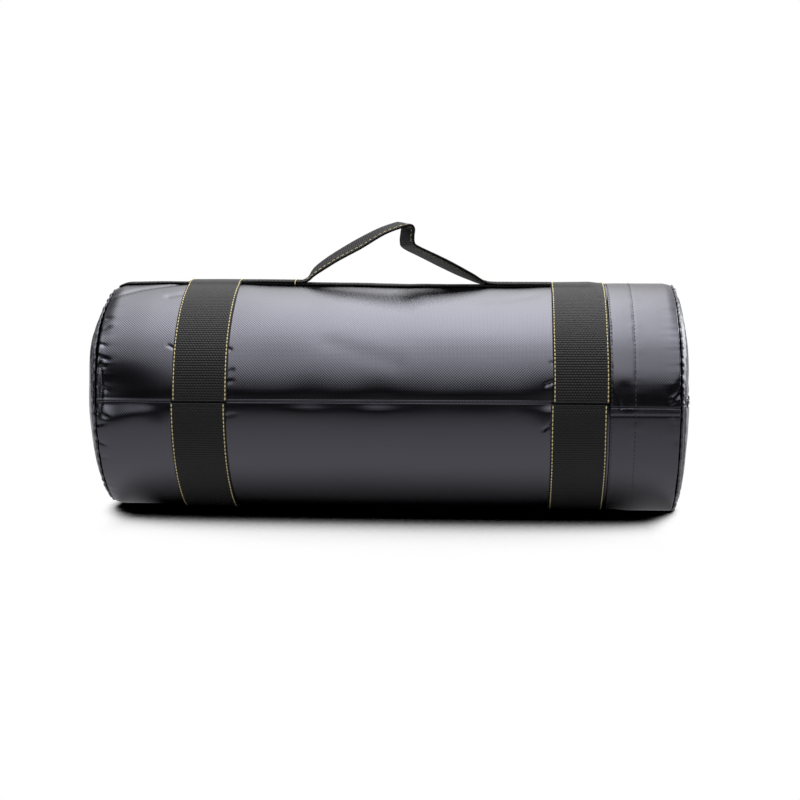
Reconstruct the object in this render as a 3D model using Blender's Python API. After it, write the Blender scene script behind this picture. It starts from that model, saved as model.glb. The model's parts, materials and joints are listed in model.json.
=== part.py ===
"""A round sandbag trainer: a coated-fabric bag with webbing bands, one top handle and sand fillers.

The bag lies along X with its zip end at +X and its front seam at -Y. The origin is under the
middle of the bag, on the surface that the two bands rest on. Lengths are in metres and angles
in degrees. Angles round the bag start at the top and grow toward the front.
"""

import math

import bmesh
import bpy
from mathutils import Matrix, Vector

# Running gaps
GAP = 0.0003
ZIP_GAP = 0.0004
PIN_GAP = 0.0005

# Bag shell
SHELL_LENGTH = 0.5232
BAG_RADIUS = 0.1076
SETTLED_DEPTH = 0.006
FABRIC = 0.0012
LEFT_BULGE = 0.0235
RIGHT_BULGE = 0.0166
CUFF_WIDTH = 0.0628
CUFF_LAP = 0.024
SEAM_ANGLE = 90.0
CUFF_SEAM_ANGLE = 92.5
BINDING_WIDTH = 0.006
BINDING_THICKNESS = 0.0035

# Webbing
WEBBING = 0.002
BAND_WIDTH = 0.050
LEFT_BAND_INSET = 0.0940
BAND_TO_CUFF = 0.0009
STRAP_WIDTH = 0.038
SPINE_PAST_BAND = 0.012
SPINE_RIM_INSET = 0.001

# Handle
HANDLE_START = -0.0857
HANDLE_SPAN = 0.1851
HANDLE_RISE = 0.0541
SWING_CLEARANCE = 0.0002
STATION_STEPS = 3
CUTTER_OVERRUN = 0.020

# Near edge along and up, then far edge along and up, as shares of the handle's span and rise.
# The loop is creased at its top, drops, and turns its inner face to the front on the way down.
handle_station_shares = [
    (0.000, 0.000, 0.000, 0.000),
    (0.042, 0.026, 0.023, 0.098),
    (0.079, 0.116, 0.058, 0.244),
    (0.177, 0.311, 0.150, 0.458),
    (0.301, 0.527, 0.269, 0.699),
    (0.425, 0.780, 0.377, 0.884),
    (0.517, 0.902, 0.452, 0.976),
    (0.563, 0.939, 0.485, 1.000),
    (0.579, 0.874, 0.502, 0.948),
    (0.576, 0.754, 0.498, 0.810),
    (0.578, 0.643, 0.495, 0.671),
    (0.595, 0.577, 0.512, 0.556),
    (0.679, 0.440, 0.625, 0.370),
    (0.787, 0.277, 0.744, 0.198),
    (0.884, 0.122, 0.847, 0.063),
    (0.949, 0.022, 0.928, 0.004),
    (1.000, 0.000, 1.000, 0.000),
]

# Zip across the right end
SLIT_HALF = 0.0007
COIL_WIDTH = 0.0025
COIL_THICKNESS = 0.0016
ZIP_END_INSET = 0.0228
TAPE_THICKNESS = 0.0006
TAPE_WIDTH = 0.0143
DISC_EDGE_FROM_ZIP = 0.005
STOP_LENGTH = 0.002
STOP_THICKNESS = 0.001
SLIDER_LENGTH = 0.009
SLIDER_HALF_WIDTH = 0.0044
SLIDER_FLANGE = 0.0008
SLIDER_PLATE = 0.0013
SLIDER_BACK_PLATE = 0.001
SLIDER_POST_HALF = 0.0004
BAIL_HALF_WIDTH = 0.001
BAIL_LEG = 0.0012
BAIL_SINK = 0.0003
PULLER_LENGTH = 0.030
PULLER_HALF_WIDTH = 0.004
PULLER_THICKNESS = 0.0016
PULLER_BAR_HALF = 0.0009
PULLER_WINDOW = 0.0056
PULLER_ARM_INSET = 0.0006
PULLER_TIP_RADIUS = 0.0025

# Filling
SLEEVE_THICKNESS = 0.008
SLEEVE_SLIT_HALF = 0.002
PAD_SEAT = 0.012
SACK_WALL = 0.0008
SACK_CHAMFER = 0.004
SACK_SHOULDER = 0.026
SACK_NECK_RADIUS = 0.006
SACK_MOUTH_RADIUS = 0.013
SACK_MOUTH_LENGTH = 0.014
TIE_WIDTH = 0.006
TIE_THICKNESS = 0.0025
TIE_CHAMFER = 0.0008
SAND_END_GAP = 0.001

# How finely the round shapes are cut
SECTION_STEP = 6.0
SACK_SIDES = 20
SWING_ROUND_STEPS = 24
PULLER_TIP_STEPS = 3
disc_ring_shares = [0.12, 0.32, 0.52, 0.70, 0.86, 1.0]
ARC_STEPS = 26
BAND_RAMP_STEPS = 1
MERGE_DISTANCE = 1e-6
SMOOTH_ANGLE = 35.0
FULL_TURN = 360.0

# Worked out from the sizes above
AXIS_HEIGHT = BAG_RADIUS - SETTLED_DEPTH + GAP + WEBBING
AXIS = Vector((0, 0, AXIS_HEIGHT))
LINER_OFFSET = -(FABRIC + GAP)
CUFF_OUTSIDE = GAP + FABRIC
BAND_OUTSIDE = GAP + WEBBING
TAIL_BOTTOM = BAND_OUTSIDE + GAP
TAIL_TOP = TAIL_BOTTOM + WEBBING
STRAP_ANGLE = math.degrees(math.asin(STRAP_WIDTH / 2 / BAG_RADIUS))


def dome_radius(rim_radius, bulge):
    """Radius of the round surface that a disc of this size bulges to."""
    return (rim_radius**2 + bulge**2) / (2 * bulge)


LEFT_DOME_RADIUS = dome_radius(BAG_RADIUS, LEFT_BULGE)
RIGHT_DOME_RADIUS = dome_radius(BAG_RADIUS + CUFF_OUTSIDE, RIGHT_BULGE)

RIGHT_BAND_INSET = CUFF_WIDTH + BAND_TO_CUFF + BAND_WIDTH / 2
RIM_HALF_ARC = RIGHT_DOME_RADIUS * math.asin((BAG_RADIUS + CUFF_OUTSIDE) / RIGHT_DOME_RADIUS)
ZIP_HALF_ARC = RIM_HALF_ARC - ZIP_END_INSET
COIL_INNER = RIGHT_DOME_RADIUS - FABRIC
COIL_OUTER = COIL_INNER + COIL_THICKNESS
TAPE_DEPTH = FABRIC + GAP
SLIDER_UNDERSIDE = COIL_OUTER + ZIP_GAP
SLIDER_TOP = SLIDER_UNDERSIDE + SLIDER_PLATE
SLIDER_BACK_TOP = RIGHT_DOME_RADIUS - TAPE_DEPTH - TAPE_THICKNESS - ZIP_GAP
PULLER_HALF = PULLER_THICKNESS / 2
PULLER_SWEEP = math.hypot(PULLER_BAR_HALF, PULLER_HALF)
PIN_RADIUS = SLIDER_TOP + PIN_GAP + PULLER_SWEEP
BAIL_INSIDE = PIN_RADIUS + PULLER_SWEEP + PIN_GAP
BAIL_TOP = BAIL_INSIDE + BAIL_LEG
PARKED_ARC = ZIP_HALF_ARC - STOP_LENGTH - PIN_GAP - SLIDER_LENGTH / 2
PARKED_ANGLE = PARKED_ARC / RIGHT_DOME_RADIUS

PULLER_TIP_REACH = (
    (PIN_RADIUS + PULLER_HALF) * math.cos(PARKED_ANGLE)
    + PULLER_LENGTH * math.sin(PARKED_ANGLE)
    - RIGHT_DOME_RADIUS
)
RIGHT_REACH = RIGHT_BULGE + max(PULLER_TIP_REACH, COIL_OUTER - RIGHT_DOME_RADIUS)
HALF_OVERALL = (LEFT_BULGE + SHELL_LENGTH + RIGHT_REACH) / 2
LEFT_RIM = LEFT_BULGE - HALF_OVERALL
RIGHT_RIM = LEFT_RIM + SHELL_LENGTH
SHELL_MIDDLE = (LEFT_RIM + RIGHT_RIM) / 2
CUFF_START = RIGHT_RIM - CUFF_WIDTH
ZIP_CENTRE = AXIS + Vector((RIGHT_RIM + RIGHT_BULGE - RIGHT_DOME_RADIUS, 0, 0))

SWING_RADIUS = STRAP_WIDTH / 2 + SWING_CLEARANCE
SWING_HEIGHT = AXIS_HEIGHT + BAG_RADIUS + TAIL_BOTTOM + SWING_RADIUS
HANDLE_END = HANDLE_START + HANDLE_SPAN


def clear_scene():
    for thing in list(bpy.data.objects):
        bpy.data.objects.remove(thing)


def finish(name, colour, roughness, metallic=0.0):
    """A plain Principled material."""
    material = bpy.data.materials.new(name)
    material.use_nodes = True
    shader = material.node_tree.nodes["Principled BSDF"]
    shader.inputs["Base Color"].default_value = (*colour, 1.0)
    shader.inputs["Roughness"].default_value = roughness
    shader.inputs["Metallic"].default_value = metallic
    return material


def add_object(name, mesh_builder, material, origin=(0, 0, 0), turn=0.0):
    """Turns a finished bmesh into a named object whose origin is the given point."""
    bmesh.ops.remove_doubles(mesh_builder, verts=mesh_builder.verts, dist=MERGE_DISTANCE)
    bmesh.ops.recalc_face_normals(mesh_builder, faces=mesh_builder.faces)
    mesh = bpy.data.meshes.new(name)
    mesh_builder.to_mesh(mesh)
    mesh_builder.free()
    mesh.materials.append(material)
    mesh.shade_smooth()
    mesh.set_sharp_from_angle(angle=math.radians(SMOOTH_ANGLE))
    thing = bpy.data.objects.new(name, mesh)
    thing.location = origin
    thing.rotation_euler.z = turn
    bpy.context.scene.collection.objects.link(thing)
    return thing


def hide_as_cutter(thing):
    thing.hide_render = True
    thing.display_type = "WIRE"


def combine(target, other, operation):
    """Joins another object to this one, or cuts it away, and hides the other."""
    modifier = target.modifiers.new(other.name, "BOOLEAN")
    modifier.operation = operation
    modifier.solver = "EXACT"
    modifier.object = other
    hide_as_cutter(other)


def section_point(angle, offset, share=1.0):
    """Y and Z on the bag's cross-section, this far outside the panels' outer face."""
    radius = BAG_RADIUS + offset
    settled = BAG_RADIUS - SETTLED_DEPTH + offset
    turned = math.radians(angle)
    side = -radius * math.sin(turned)
    up = max(radius * math.cos(turned), -settled)
    return share * side, AXIS_HEIGHT + share * up


def section_angles(start, end):
    """The two ends and every whole step between them."""
    first = math.floor(start / SECTION_STEP) + 1
    last = math.ceil(end / SECTION_STEP)
    return [start, *[step * SECTION_STEP for step in range(first, last)], end]


def arc_gap(offset=0.0):
    """Half of a running gap, as an angle round the bag."""
    return math.degrees(GAP / 2 / (BAG_RADIUS + offset))


def wrapped_strip(name, angles, inside, outside, start, end, material, closed=False):
    """Cloth or webbing that lies round the bag; inside and outside give its offset at an angle."""
    builder = bmesh.new()
    inner = [builder.verts.new((start, *section_point(a, inside(a)))) for a in angles]
    outer = [builder.verts.new((start, *section_point(a, outside(a)))) for a in angles]
    first = 0 if closed else 1
    for i in range(first, len(angles)):
        builder.faces.new((inner[i - 1], inner[i], outer[i], outer[i - 1]))
    grown = bmesh.ops.extrude_face_region(builder, geom=builder.faces[:])
    moved = [item for item in grown["geom"] if isinstance(item, bmesh.types.BMVert)]
    bmesh.ops.translate(builder, verts=moved, vec=(end - start, 0, 0))
    return add_object(name, builder, material)


def even(offset):
    return lambda angle: offset


def ring_edges(builder, points):
    corners = [builder.verts.new(point) for point in points]
    pairs = zip(corners, corners[1:] + corners[:1])
    return [builder.edges.new(pair) for pair in pairs]


def lofted(rings):
    """A closed solid through rings of points, with a flat face on its first and last ring."""
    builder = bmesh.new()
    loops = [ring_edges(builder, ring) for ring in rings]
    for first, second in zip(loops, loops[1:]):
        bmesh.ops.bridge_loops(builder, edges=first + second)
    bmesh.ops.edgeloop_fill(builder, edges=loops[0])
    bmesh.ops.edgeloop_fill(builder, edges=loops[-1])
    return builder


def full_circle_angles():
    return [step * SECTION_STEP for step in range(round(FULL_TURN / SECTION_STEP))]


def dome_ring(share, offset, depth, rim, side, bulge, rim_offset):
    """One ring of a bulged disc: side is -1 at the left end and 1 at the right."""
    curve = dome_radius(BAG_RADIUS + rim_offset, bulge)
    reach = share * (BAG_RADIUS + offset)
    rise = math.sqrt(curve**2 - reach**2) - (curve - bulge)
    x = rim + side * (rise - depth)
    return [(x, *section_point(angle, offset, share)) for angle in full_circle_angles()]


def dome_shell(rim, side, bulge, rim_offset, offset, depth, thickness):
    """A sheet of even thickness that follows the bulge of an end, some depth inside it."""
    outer = [
        dome_ring(share, offset, depth, rim, side, bulge, rim_offset)
        for share in disc_ring_shares
    ]
    inner = [
        dome_ring(share, offset, depth + thickness, rim, side, bulge, rim_offset)
        for share in reversed(disc_ring_shares)
    ]
    return lofted(outer + inner)


def cut_flat(builder, height, direction):
    """Removes what lies above (1) or below (-1) a height, and closes the cut."""
    everything = builder.verts[:] + builder.edges[:] + builder.faces[:]
    cut = bmesh.ops.bisect_plane(
        builder,
        geom=everything,
        plane_co=(0, 0, height),
        plane_no=(0, 0, direction),
        clear_outer=True,
    )
    rim = [item for item in cut["geom_cut"] if isinstance(item, bmesh.types.BMEdge)]
    bmesh.ops.edgeloop_fill(builder, edges=rim)


def spun_block(profile, centre_angle, half_arc, steps):
    """A profile of (distance, height) swept round the zip's centre, given about that centre."""
    builder = bmesh.new()
    half_angle = half_arc / RIGHT_DOME_RADIUS
    turn = Matrix.Rotation(centre_angle - half_angle, 3, "Z")
    corners = [builder.verts.new(turn @ Vector((r, 0, z))) for r, z in profile]
    face = builder.faces.new(corners)
    bmesh.ops.spin(
        builder,
        geom=[face, *face.edges, *face.verts],
        cent=(0, 0, 0),
        axis=(0, 0, 1),
        angle=2 * half_angle,
        steps=steps,
        use_merge=False,
    )
    return builder


def turned(profile, centre, sides):
    """A profile of (x, radius) turned about a line along X through the centre."""
    builder = bmesh.new()
    corners = [builder.verts.new((x, centre[0], centre[1] + r)) for x, r in profile]
    closed = profile[0][1] > 0
    followers = corners[1:] + corners[:1] if closed else corners[1:]
    edges = [builder.edges.new(pair) for pair in zip(corners, followers)]
    bmesh.ops.spin(
        builder,
        geom=corners + edges,
        cent=(0, *centre),
        axis=(1, 0, 0),
        angle=math.radians(FULL_TURN),
        steps=sides,
        use_merge=True,
    )
    return builder


def build_panels(coated):
    start = LEFT_RIM + FABRIC + GAP
    end = CUFF_START + CUFF_LAP
    edge = SEAM_ANGLE - arc_gap()
    upper = section_angles(-edge, edge)
    lower = section_angles(SEAM_ANGLE + arc_gap(), FULL_TURN - SEAM_ANGLE - arc_gap())
    for name, angles in (("upper_panel", upper), ("lower_panel", lower)):
        wrapped_strip(name, angles, even(-FABRIC), even(0), start, end, coated)


def build_cuff(smooth):
    start = CUFF_START
    end = RIGHT_RIM - FABRIC - GAP
    edge = CUFF_SEAM_ANGLE - arc_gap()
    upper = section_angles(-edge, edge)
    lower = section_angles(
        CUFF_SEAM_ANGLE + arc_gap(), FULL_TURN - CUFF_SEAM_ANGLE - arc_gap()
    )
    for name, angles in (("cuff_upper", upper), ("cuff_lower", lower)):
        wrapped_strip(name, angles, even(GAP), even(CUFF_OUTSIDE), start, end, smooth)


def build_end_discs(coated, smooth):
    left = dome_shell(LEFT_RIM, -1, LEFT_BULGE, 0, 0, 0, FABRIC)
    add_object("left_end_disc", left, coated)
    halves = (
        ("right_end_disc_upper", AXIS_HEIGHT + DISC_EDGE_FROM_ZIP, -1),
        ("right_end_disc_lower", AXIS_HEIGHT - DISC_EDGE_FROM_ZIP, 1),
    )
    for name, height, direction in halves:
        disc = dome_shell(
            RIGHT_RIM, 1, RIGHT_BULGE, CUFF_OUTSIDE, CUFF_OUTSIDE, 0, FABRIC
        )
        cut_flat(disc, height, direction)
        add_object(name, disc, smooth)


def build_rim_bindings(tape):
    """Tape folded over the raw edges of each rim seam, inside the bag."""
    ends = (
        ("left_rim_binding", LEFT_RIM, 1, LINER_OFFSET),
        ("right_rim_binding", RIGHT_RIM, -1, 0),
    )
    for name, rim, inward, outside in ends:
        inside = even(outside - BINDING_THICKNESS)
        near = rim + inward * (FABRIC + GAP)
        far = near + inward * BINDING_WIDTH
        angles = full_circle_angles()
        wrapped_strip(name, angles, inside, even(outside), near, far, tape, closed=True)


def bump_angle():
    """The first whole step past the spine's edge, where a band still rides over it."""
    return math.ceil(STRAP_ANGLE / SECTION_STEP) * SECTION_STEP


def band_inside(angle):
    """A band steps up over the spine webbing and lies on the panel elsewhere."""
    ramp = BAND_RAMP_STEPS * SECTION_STEP
    past = max(abs(angle) - bump_angle(), 0)
    raised = max(1 - past / ramp, 0)
    return GAP + raised * (WEBBING + GAP)


def band_outside(angle):
    return band_inside(angle) + WEBBING


def build_bands(webbing):
    centres = (
        ("left_band", LEFT_RIM + LEFT_BAND_INSET),
        ("right_band", RIGHT_RIM - RIGHT_BAND_INSET),
    )
    edge = SEAM_ANGLE - arc_gap()
    upper = section_angles(-edge, edge)
    lower = section_angles(SEAM_ANGLE + arc_gap(), FULL_TURN - SEAM_ANGLE - arc_gap())
    for name, centre in centres:
        start = centre - BAND_WIDTH / 2
        end = centre + BAND_WIDTH / 2
        wrapped_strip(f"{name}_upper", upper, band_inside, band_outside, start, end, webbing)
        wrapped_strip(
            f"{name}_lower", lower, even(GAP), even(BAND_OUTSIDE), start, end, webbing
        )


def build_spine(webbing):
    start = LEFT_RIM + FABRIC + GAP + SPINE_RIM_INSET
    end = RIGHT_RIM - RIGHT_BAND_INSET + SPINE_PAST_BAND
    angles = section_angles(-STRAP_ANGLE, STRAP_ANGLE)
    wrapped_strip("spine_webbing", angles, even(GAP), even(BAND_OUTSIDE), start, end, webbing)


def build_handle_tails(webbing):
    """The handle's sewn ends, which lie flat on the spine."""
    left_band_edge = LEFT_RIM + LEFT_BAND_INSET + BAND_WIDTH / 2
    right_band_edge = RIGHT_RIM - RIGHT_BAND_INSET - BAND_WIDTH / 2
    left_foot = SHELL_MIDDLE + HANDLE_START
    right_foot = SHELL_MIDDLE + HANDLE_END
    tails = (
        ("handle_tail_left", left_band_edge + GAP, left_foot - GAP),
        ("handle_tail_right", right_foot + GAP, right_band_edge - GAP),
    )
    angles = section_angles(-STRAP_ANGLE, STRAP_ANGLE)
    for name, start, end in tails:
        wrapped_strip(name, angles, even(TAIL_BOTTOM), even(TAIL_TOP), start, end, webbing)


def smooth_between(before, start, end, after, share):
    """A Catmull-Rom curve value between two stations."""
    return (
        start
        + (end - before) * share / 2
        + (2 * before - 5 * start + 4 * end - after) * share**2 / 2
        + (3 * start - before - 3 * end + after) * share**3 / 2
    )


def handle_stations():
    """The hand-set stations, with smooth ones between them."""
    table = handle_station_shares
    last = len(table) - 1
    stations = []
    for i in range(last):
        around = [table[max(i - 1, 0)], table[i], table[i + 1], table[min(i + 2, last)]]
        for step in range(STATION_STEPS):
            share = step / STATION_STEPS
            stations.append([smooth_between(*values, share) for values in zip(*around)])
    stations.append(list(table[last]))
    return stations


def handle_edges(station):
    """The near and far edge at a station, a strap's width apart."""
    near_along, near_up, far_along, far_up = station
    start = SHELL_MIDDLE + HANDLE_START
    base = AXIS_HEIGHT + BAG_RADIUS + TAIL_BOTTOM + WEBBING / 2
    run = (far_along - near_along) * HANDLE_SPAN
    rise = (far_up - near_up) * HANDLE_RISE
    half = math.sqrt(STRAP_WIDTH**2 - run**2 - rise**2) / 2
    near = Vector((start + near_along * HANDLE_SPAN, -half, base + near_up * HANDLE_RISE))
    far = Vector((start + far_along * HANDLE_SPAN, half, base + far_up * HANDLE_RISE))
    return near, far


def handle_rings():
    """Rings round the strap. Its two ends are square, where they meet the sewn tails."""
    edges = [handle_edges(station) for station in handle_stations()]
    middles = [(near + far) / 2 for near, far in edges]
    last = len(edges) - 1
    rings = []
    for i, (near, far) in enumerate(edges):
        at_end = i in (0, last)
        along = Vector((1, 0, 0)) if at_end else middles[i + 1] - middles[i - 1]
        out = along.cross(far - near).normalized() * WEBBING / 2
        rings.append([near + out, far + out, far - out, near - out])
    return rings


def build_handle(webbing):
    """The free loop. Its lower ends are rounded about the swing axis, so it can tip over."""
    pivot = Vector((SHELL_MIDDLE, 0, SWING_HEIGHT))
    rings = [[point - pivot for point in ring] for ring in handle_rings()]
    strap = add_object("handle_strap", lofted(rings), webbing, origin=pivot)
    reach = HANDLE_SPAN / 2 + CUTTER_OVERRUN
    wide = SWING_RADIUS + CUTTER_OVERRUN
    arc = [math.pi * step / SWING_ROUND_STEPS for step in range(SWING_ROUND_STEPS + 1)]
    outline = [(-SWING_RADIUS * math.cos(a), -SWING_RADIUS * math.sin(a)) for a in arc]
    outline += [(wide, 0), (wide, -wide), (-wide, -wide), (-wide, 0)]
    builder = bmesh.new()
    middle = (HANDLE_START + HANDLE_END) / 2
    corners = [builder.verts.new((middle - reach, y, z)) for y, z in outline]
    builder.faces.new(corners)
    grown = bmesh.ops.extrude_face_region(builder, geom=builder.faces[:])
    moved = [item for item in grown["geom"] if isinstance(item, bmesh.types.BMVert)]
    bmesh.ops.translate(builder, verts=moved, vec=(2 * reach, 0, 0))
    cutter = add_object("handle_swing_cutter", builder, webbing, origin=pivot)
    combine(strap, cutter, "DIFFERENCE")


def build_zip_tapes(tape):
    offset = -BINDING_THICKNESS - GAP
    sides = (("zip_tape_upper", 1), ("zip_tape_lower", -1))
    for name, up in sides:
        sheet = dome_shell(
            RIGHT_RIM, 1, RIGHT_BULGE, CUFF_OUTSIDE, offset, TAPE_DEPTH, TAPE_THICKNESS
        )
        cut_flat(sheet, AXIS_HEIGHT + up * (SLIT_HALF + TAPE_WIDTH), up)
        cut_flat(sheet, AXIS_HEIGHT + up * SLIT_HALF, -up)
        add_object(name, sheet, tape)


def box_profile(inner, outer, low, high):
    return [(inner, low), (outer, low), (outer, high), (inner, high)]


def build_zip_coils(plastic):
    for name, up in (("zip_coil_upper", 1), ("zip_coil_lower", -1)):
        near = up * SLIT_HALF
        far = up * (SLIT_HALF + COIL_WIDTH)
        profile = box_profile(COIL_INNER, COIL_OUTER, min(near, far), max(near, far))
        coil = spun_block(profile, 0, ZIP_HALF_ARC, ARC_STEPS)
        add_object(name, coil, plastic, origin=ZIP_CENTRE)


def build_zip_stops(steel):
    half_height = SLIT_HALF + COIL_WIDTH
    profile = box_profile(
        COIL_OUTER + GAP, COIL_OUTER + GAP + STOP_THICKNESS, -half_height, half_height
    )
    stop_angle = (ZIP_HALF_ARC - STOP_LENGTH / 2) / RIGHT_DOME_RADIUS
    for name, side in (("zip_stop_rear", 1), ("zip_stop_front", -1)):
        stop = spun_block(profile, side * stop_angle, STOP_LENGTH / 2, 1)
        add_object(name, stop, steel, origin=ZIP_CENTRE)


def slider_profile():
    """The slider's section: front plate with flanges, a post through the slit, a back plate."""
    half = SLIDER_HALF_WIDTH
    flange_tip = RIGHT_DOME_RADIUS - TAPE_DEPTH + ZIP_GAP
    inside = half - SLIDER_FLANGE
    post = SLIDER_POST_HALF
    back = SLIDER_BACK_TOP - SLIDER_BACK_PLATE
    upper = [
        (SLIDER_TOP, half),
        (flange_tip, half),
        (flange_tip, inside),
        (SLIDER_UNDERSIDE, inside),
        (SLIDER_UNDERSIDE, post),
        (SLIDER_BACK_TOP, post),
        (SLIDER_BACK_TOP, half),
        (back, half),
    ]
    return upper + [(r, -z) for r, z in reversed(upper)]


def bail_outline():
    """The arch that holds the puller, as (distance out, place along the zip)."""
    leg = SLIDER_LENGTH / 2
    foot = SLIDER_TOP - BAIL_SINK
    shoulder = BAIL_TOP - BAIL_LEG
    return [
        (foot, -leg),
        (shoulder, -leg),
        (BAIL_TOP, BAIL_LEG - leg),
        (BAIL_TOP, leg - BAIL_LEG),
        (shoulder, leg),
        (foot, leg),
        (foot, leg - BAIL_LEG),
        (BAIL_INSIDE, leg - BAIL_LEG),
        (BAIL_INSIDE, BAIL_LEG - leg),
        (foot, BAIL_LEG - leg),
    ]


def build_zip_slider(steel):
    block = spun_block(slider_profile(), 0, SLIDER_LENGTH / 2, 2)
    slider = add_object("zip_slider", block, steel, origin=ZIP_CENTRE, turn=PARKED_ANGLE)
    builder = bmesh.new()
    corners = [builder.verts.new((r, along, -BAIL_HALF_WIDTH)) for r, along in bail_outline()]
    builder.faces.new(corners)
    grown = bmesh.ops.extrude_face_region(builder, geom=builder.faces[:])
    moved = [item for item in grown["geom"] if isinstance(item, bmesh.types.BMVert)]
    bmesh.ops.translate(builder, verts=moved, vec=(0, 0, 2 * BAIL_HALF_WIDTH))
    bail = add_object("zip_bail", builder, steel, origin=ZIP_CENTRE, turn=PARKED_ANGLE)
    combine(slider, bail, "UNION")


def build_zip_puller(steel):
    """A tab with a window round the bail. Its origin is the pin that it turns on."""
    bar = PULLER_BAR_HALF
    arm = PULLER_HALF_WIDTH - PULLER_ARM_INSET
    window = BAIL_HALF_WIDTH + PULLER_ARM_INSET
    along = [-bar, bar, PULLER_WINDOW, PULLER_LENGTH]
    across = [-arm, -window, window, arm]
    builder = bmesh.new()
    grid = [[builder.verts.new((-PULLER_HALF, -y, z)) for z in across] for y in along]
    for i in range(len(along) - 1):
        for j in range(len(across) - 1):
            in_window = i == 1 and j == 1
            if not in_window:
                corners = (grid[i][j], grid[i + 1][j], grid[i + 1][j + 1], grid[i][j + 1])
                builder.faces.new(corners)
    tip_corners = [grid[-1][0], grid[-1][-1]]
    grown = bmesh.ops.extrude_face_region(builder, geom=builder.faces[:])
    moved = [item for item in grown["geom"] if isinstance(item, bmesh.types.BMVert)]
    bmesh.ops.translate(builder, verts=moved, vec=(PULLER_THICKNESS, 0, 0))
    tips = {corner.co.to_tuple()[1:] for corner in tip_corners}
    uprights = [
        edge
        for edge in builder.edges
        if edge.verts[0].co.to_tuple()[1:] in tips
        and edge.verts[0].co.to_tuple()[1:] == edge.verts[1].co.to_tuple()[1:]
    ]
    bmesh.ops.bevel(
        builder,
        geom=uprights,
        offset=PULLER_TIP_RADIUS,
        segments=PULLER_TIP_STEPS,
        profile=0.5,
        affect="EDGES",
        material=-1,
    )
    turn = Matrix.Rotation(PARKED_ANGLE, 3, "Z")
    pin = ZIP_CENTRE + turn @ Vector((PIN_RADIUS, 0, 0))
    add_object("zip_puller", builder, steel, origin=pin, turn=PARKED_ANGLE)


def build_sleeve(foam):
    """Foam sheet rolled round the sand, with its two edges meeting at the back."""
    slit = math.degrees(SLEEVE_SLIT_HALF / BAG_RADIUS)
    angles = section_angles(slit - SEAM_ANGLE, FULL_TURN - SEAM_ANGLE - slit)
    inside = even(LINER_OFFSET - SLEEVE_THICKNESS)
    start = LEFT_RIM + PAD_SEAT + GAP
    end = RIGHT_RIM - PAD_SEAT - GAP
    wrapped_strip("foam_sleeve", angles, inside, even(LINER_OFFSET), start, end, foam)


def build_pads(foam):
    """A foam plug behind each end disc, bulged as the disc is and flat where it meets the sand."""
    slider_room = TAPE_DEPTH + TAPE_THICKNESS + SLIDER_BACK_PLATE + 2 * ZIP_GAP
    left_offset = LINER_OFFSET - BINDING_THICKNESS - GAP
    right_offset = -BINDING_THICKNESS - GAP
    pads = (
        ("foam_pad_left", LEFT_RIM, -1, LEFT_BULGE, 0, left_offset, FABRIC + GAP),
        ("foam_pad_right", RIGHT_RIM, 1, RIGHT_BULGE, CUFF_OUTSIDE, right_offset, slider_room),
    )
    for name, rim, side, bulge, rim_offset, offset, depth in pads:
        rings = [
            dome_ring(share, offset, depth, rim, side, bulge, rim_offset)
            for share in disc_ring_shares
        ]
        flat = rim - side * PAD_SEAT
        rings.append([(flat, *section_point(a, offset)) for a in full_circle_angles()])
        add_object(name, lofted(rings), foam)


def sack_radius():
    """The largest radius at which four sacks lie two by two inside the sleeve."""
    sleeve_inside = BAG_RADIUS + LINER_OFFSET - SLEEVE_THICKNESS
    room = sleeve_inside * math.cos(math.radians(SECTION_STEP / 2))
    diagonal = math.sqrt(2)
    return (room - GAP - diagonal * GAP / 2) / (1 + diagonal)


def build_fillers(nylon, sand, cord):
    """Four sand sacks that fill the bag, each tied at its neck."""
    radius = sack_radius()
    place = radius + GAP / 2
    start = LEFT_RIM + PAD_SEAT + GAP
    end = RIGHT_RIM - PAD_SEAT - GAP
    tie_end = end - SACK_MOUTH_LENGTH
    tie_start = tie_end - TIE_WIDTH
    shoulder = tie_start - SACK_SHOULDER
    neck = SACK_NECK_RADIUS
    outer = [
        (start, 0),
        (start, radius - SACK_CHAMFER),
        (start + SACK_CHAMFER, radius),
        (shoulder, radius),
        (tie_start, neck),
        (tie_end, neck),
        (end, SACK_MOUTH_RADIUS),
    ]
    wall = SACK_WALL
    floor = start + wall
    inner = [
        (end, SACK_MOUTH_RADIUS - wall),
        (tie_end, neck - wall),
        (tie_start, neck - wall),
        (shoulder, radius - wall),
        (floor + SACK_CHAMFER, radius - wall),
        (floor, radius - wall - SACK_CHAMFER),
        (floor, 0),
    ]
    full = radius - wall - GAP
    sand_start = floor + GAP
    sand_end = tie_start - SAND_END_GAP
    fill = [
        (sand_start, 0),
        (sand_start, full - SACK_CHAMFER),
        (sand_start + SACK_CHAMFER, full),
        (shoulder - SAND_END_GAP, full),
        (sand_end, neck - wall - GAP),
        (sand_end, 0),
    ]
    tie_inside = neck + GAP
    tie_outside = tie_inside + TIE_THICKNESS
    knot = [
        (tie_start + GAP, tie_inside),
        (tie_end - GAP, tie_inside),
        (tie_end - GAP, tie_outside - TIE_CHAMFER),
        (tie_end - GAP - TIE_CHAMFER, tie_outside),
        (tie_start + GAP + TIE_CHAMFER, tie_outside),
        (tie_start + GAP, tie_outside - TIE_CHAMFER),
    ]
    places = [(-place, place), (place, place), (-place, -place), (place, -place)]
    for number, (side, up) in enumerate(places, start=1):
        centre = (side, AXIS_HEIGHT + up)
        add_object(f"filler_{number}_sack", turned(outer + inner, centre, SACK_SIDES), nylon)
        add_object(f"filler_{number}_sand", turned(fill, centre, SACK_SIDES), sand)
        add_object(f"filler_{number}_tie", turned(knot, centre, SACK_SIDES), cord)


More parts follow.
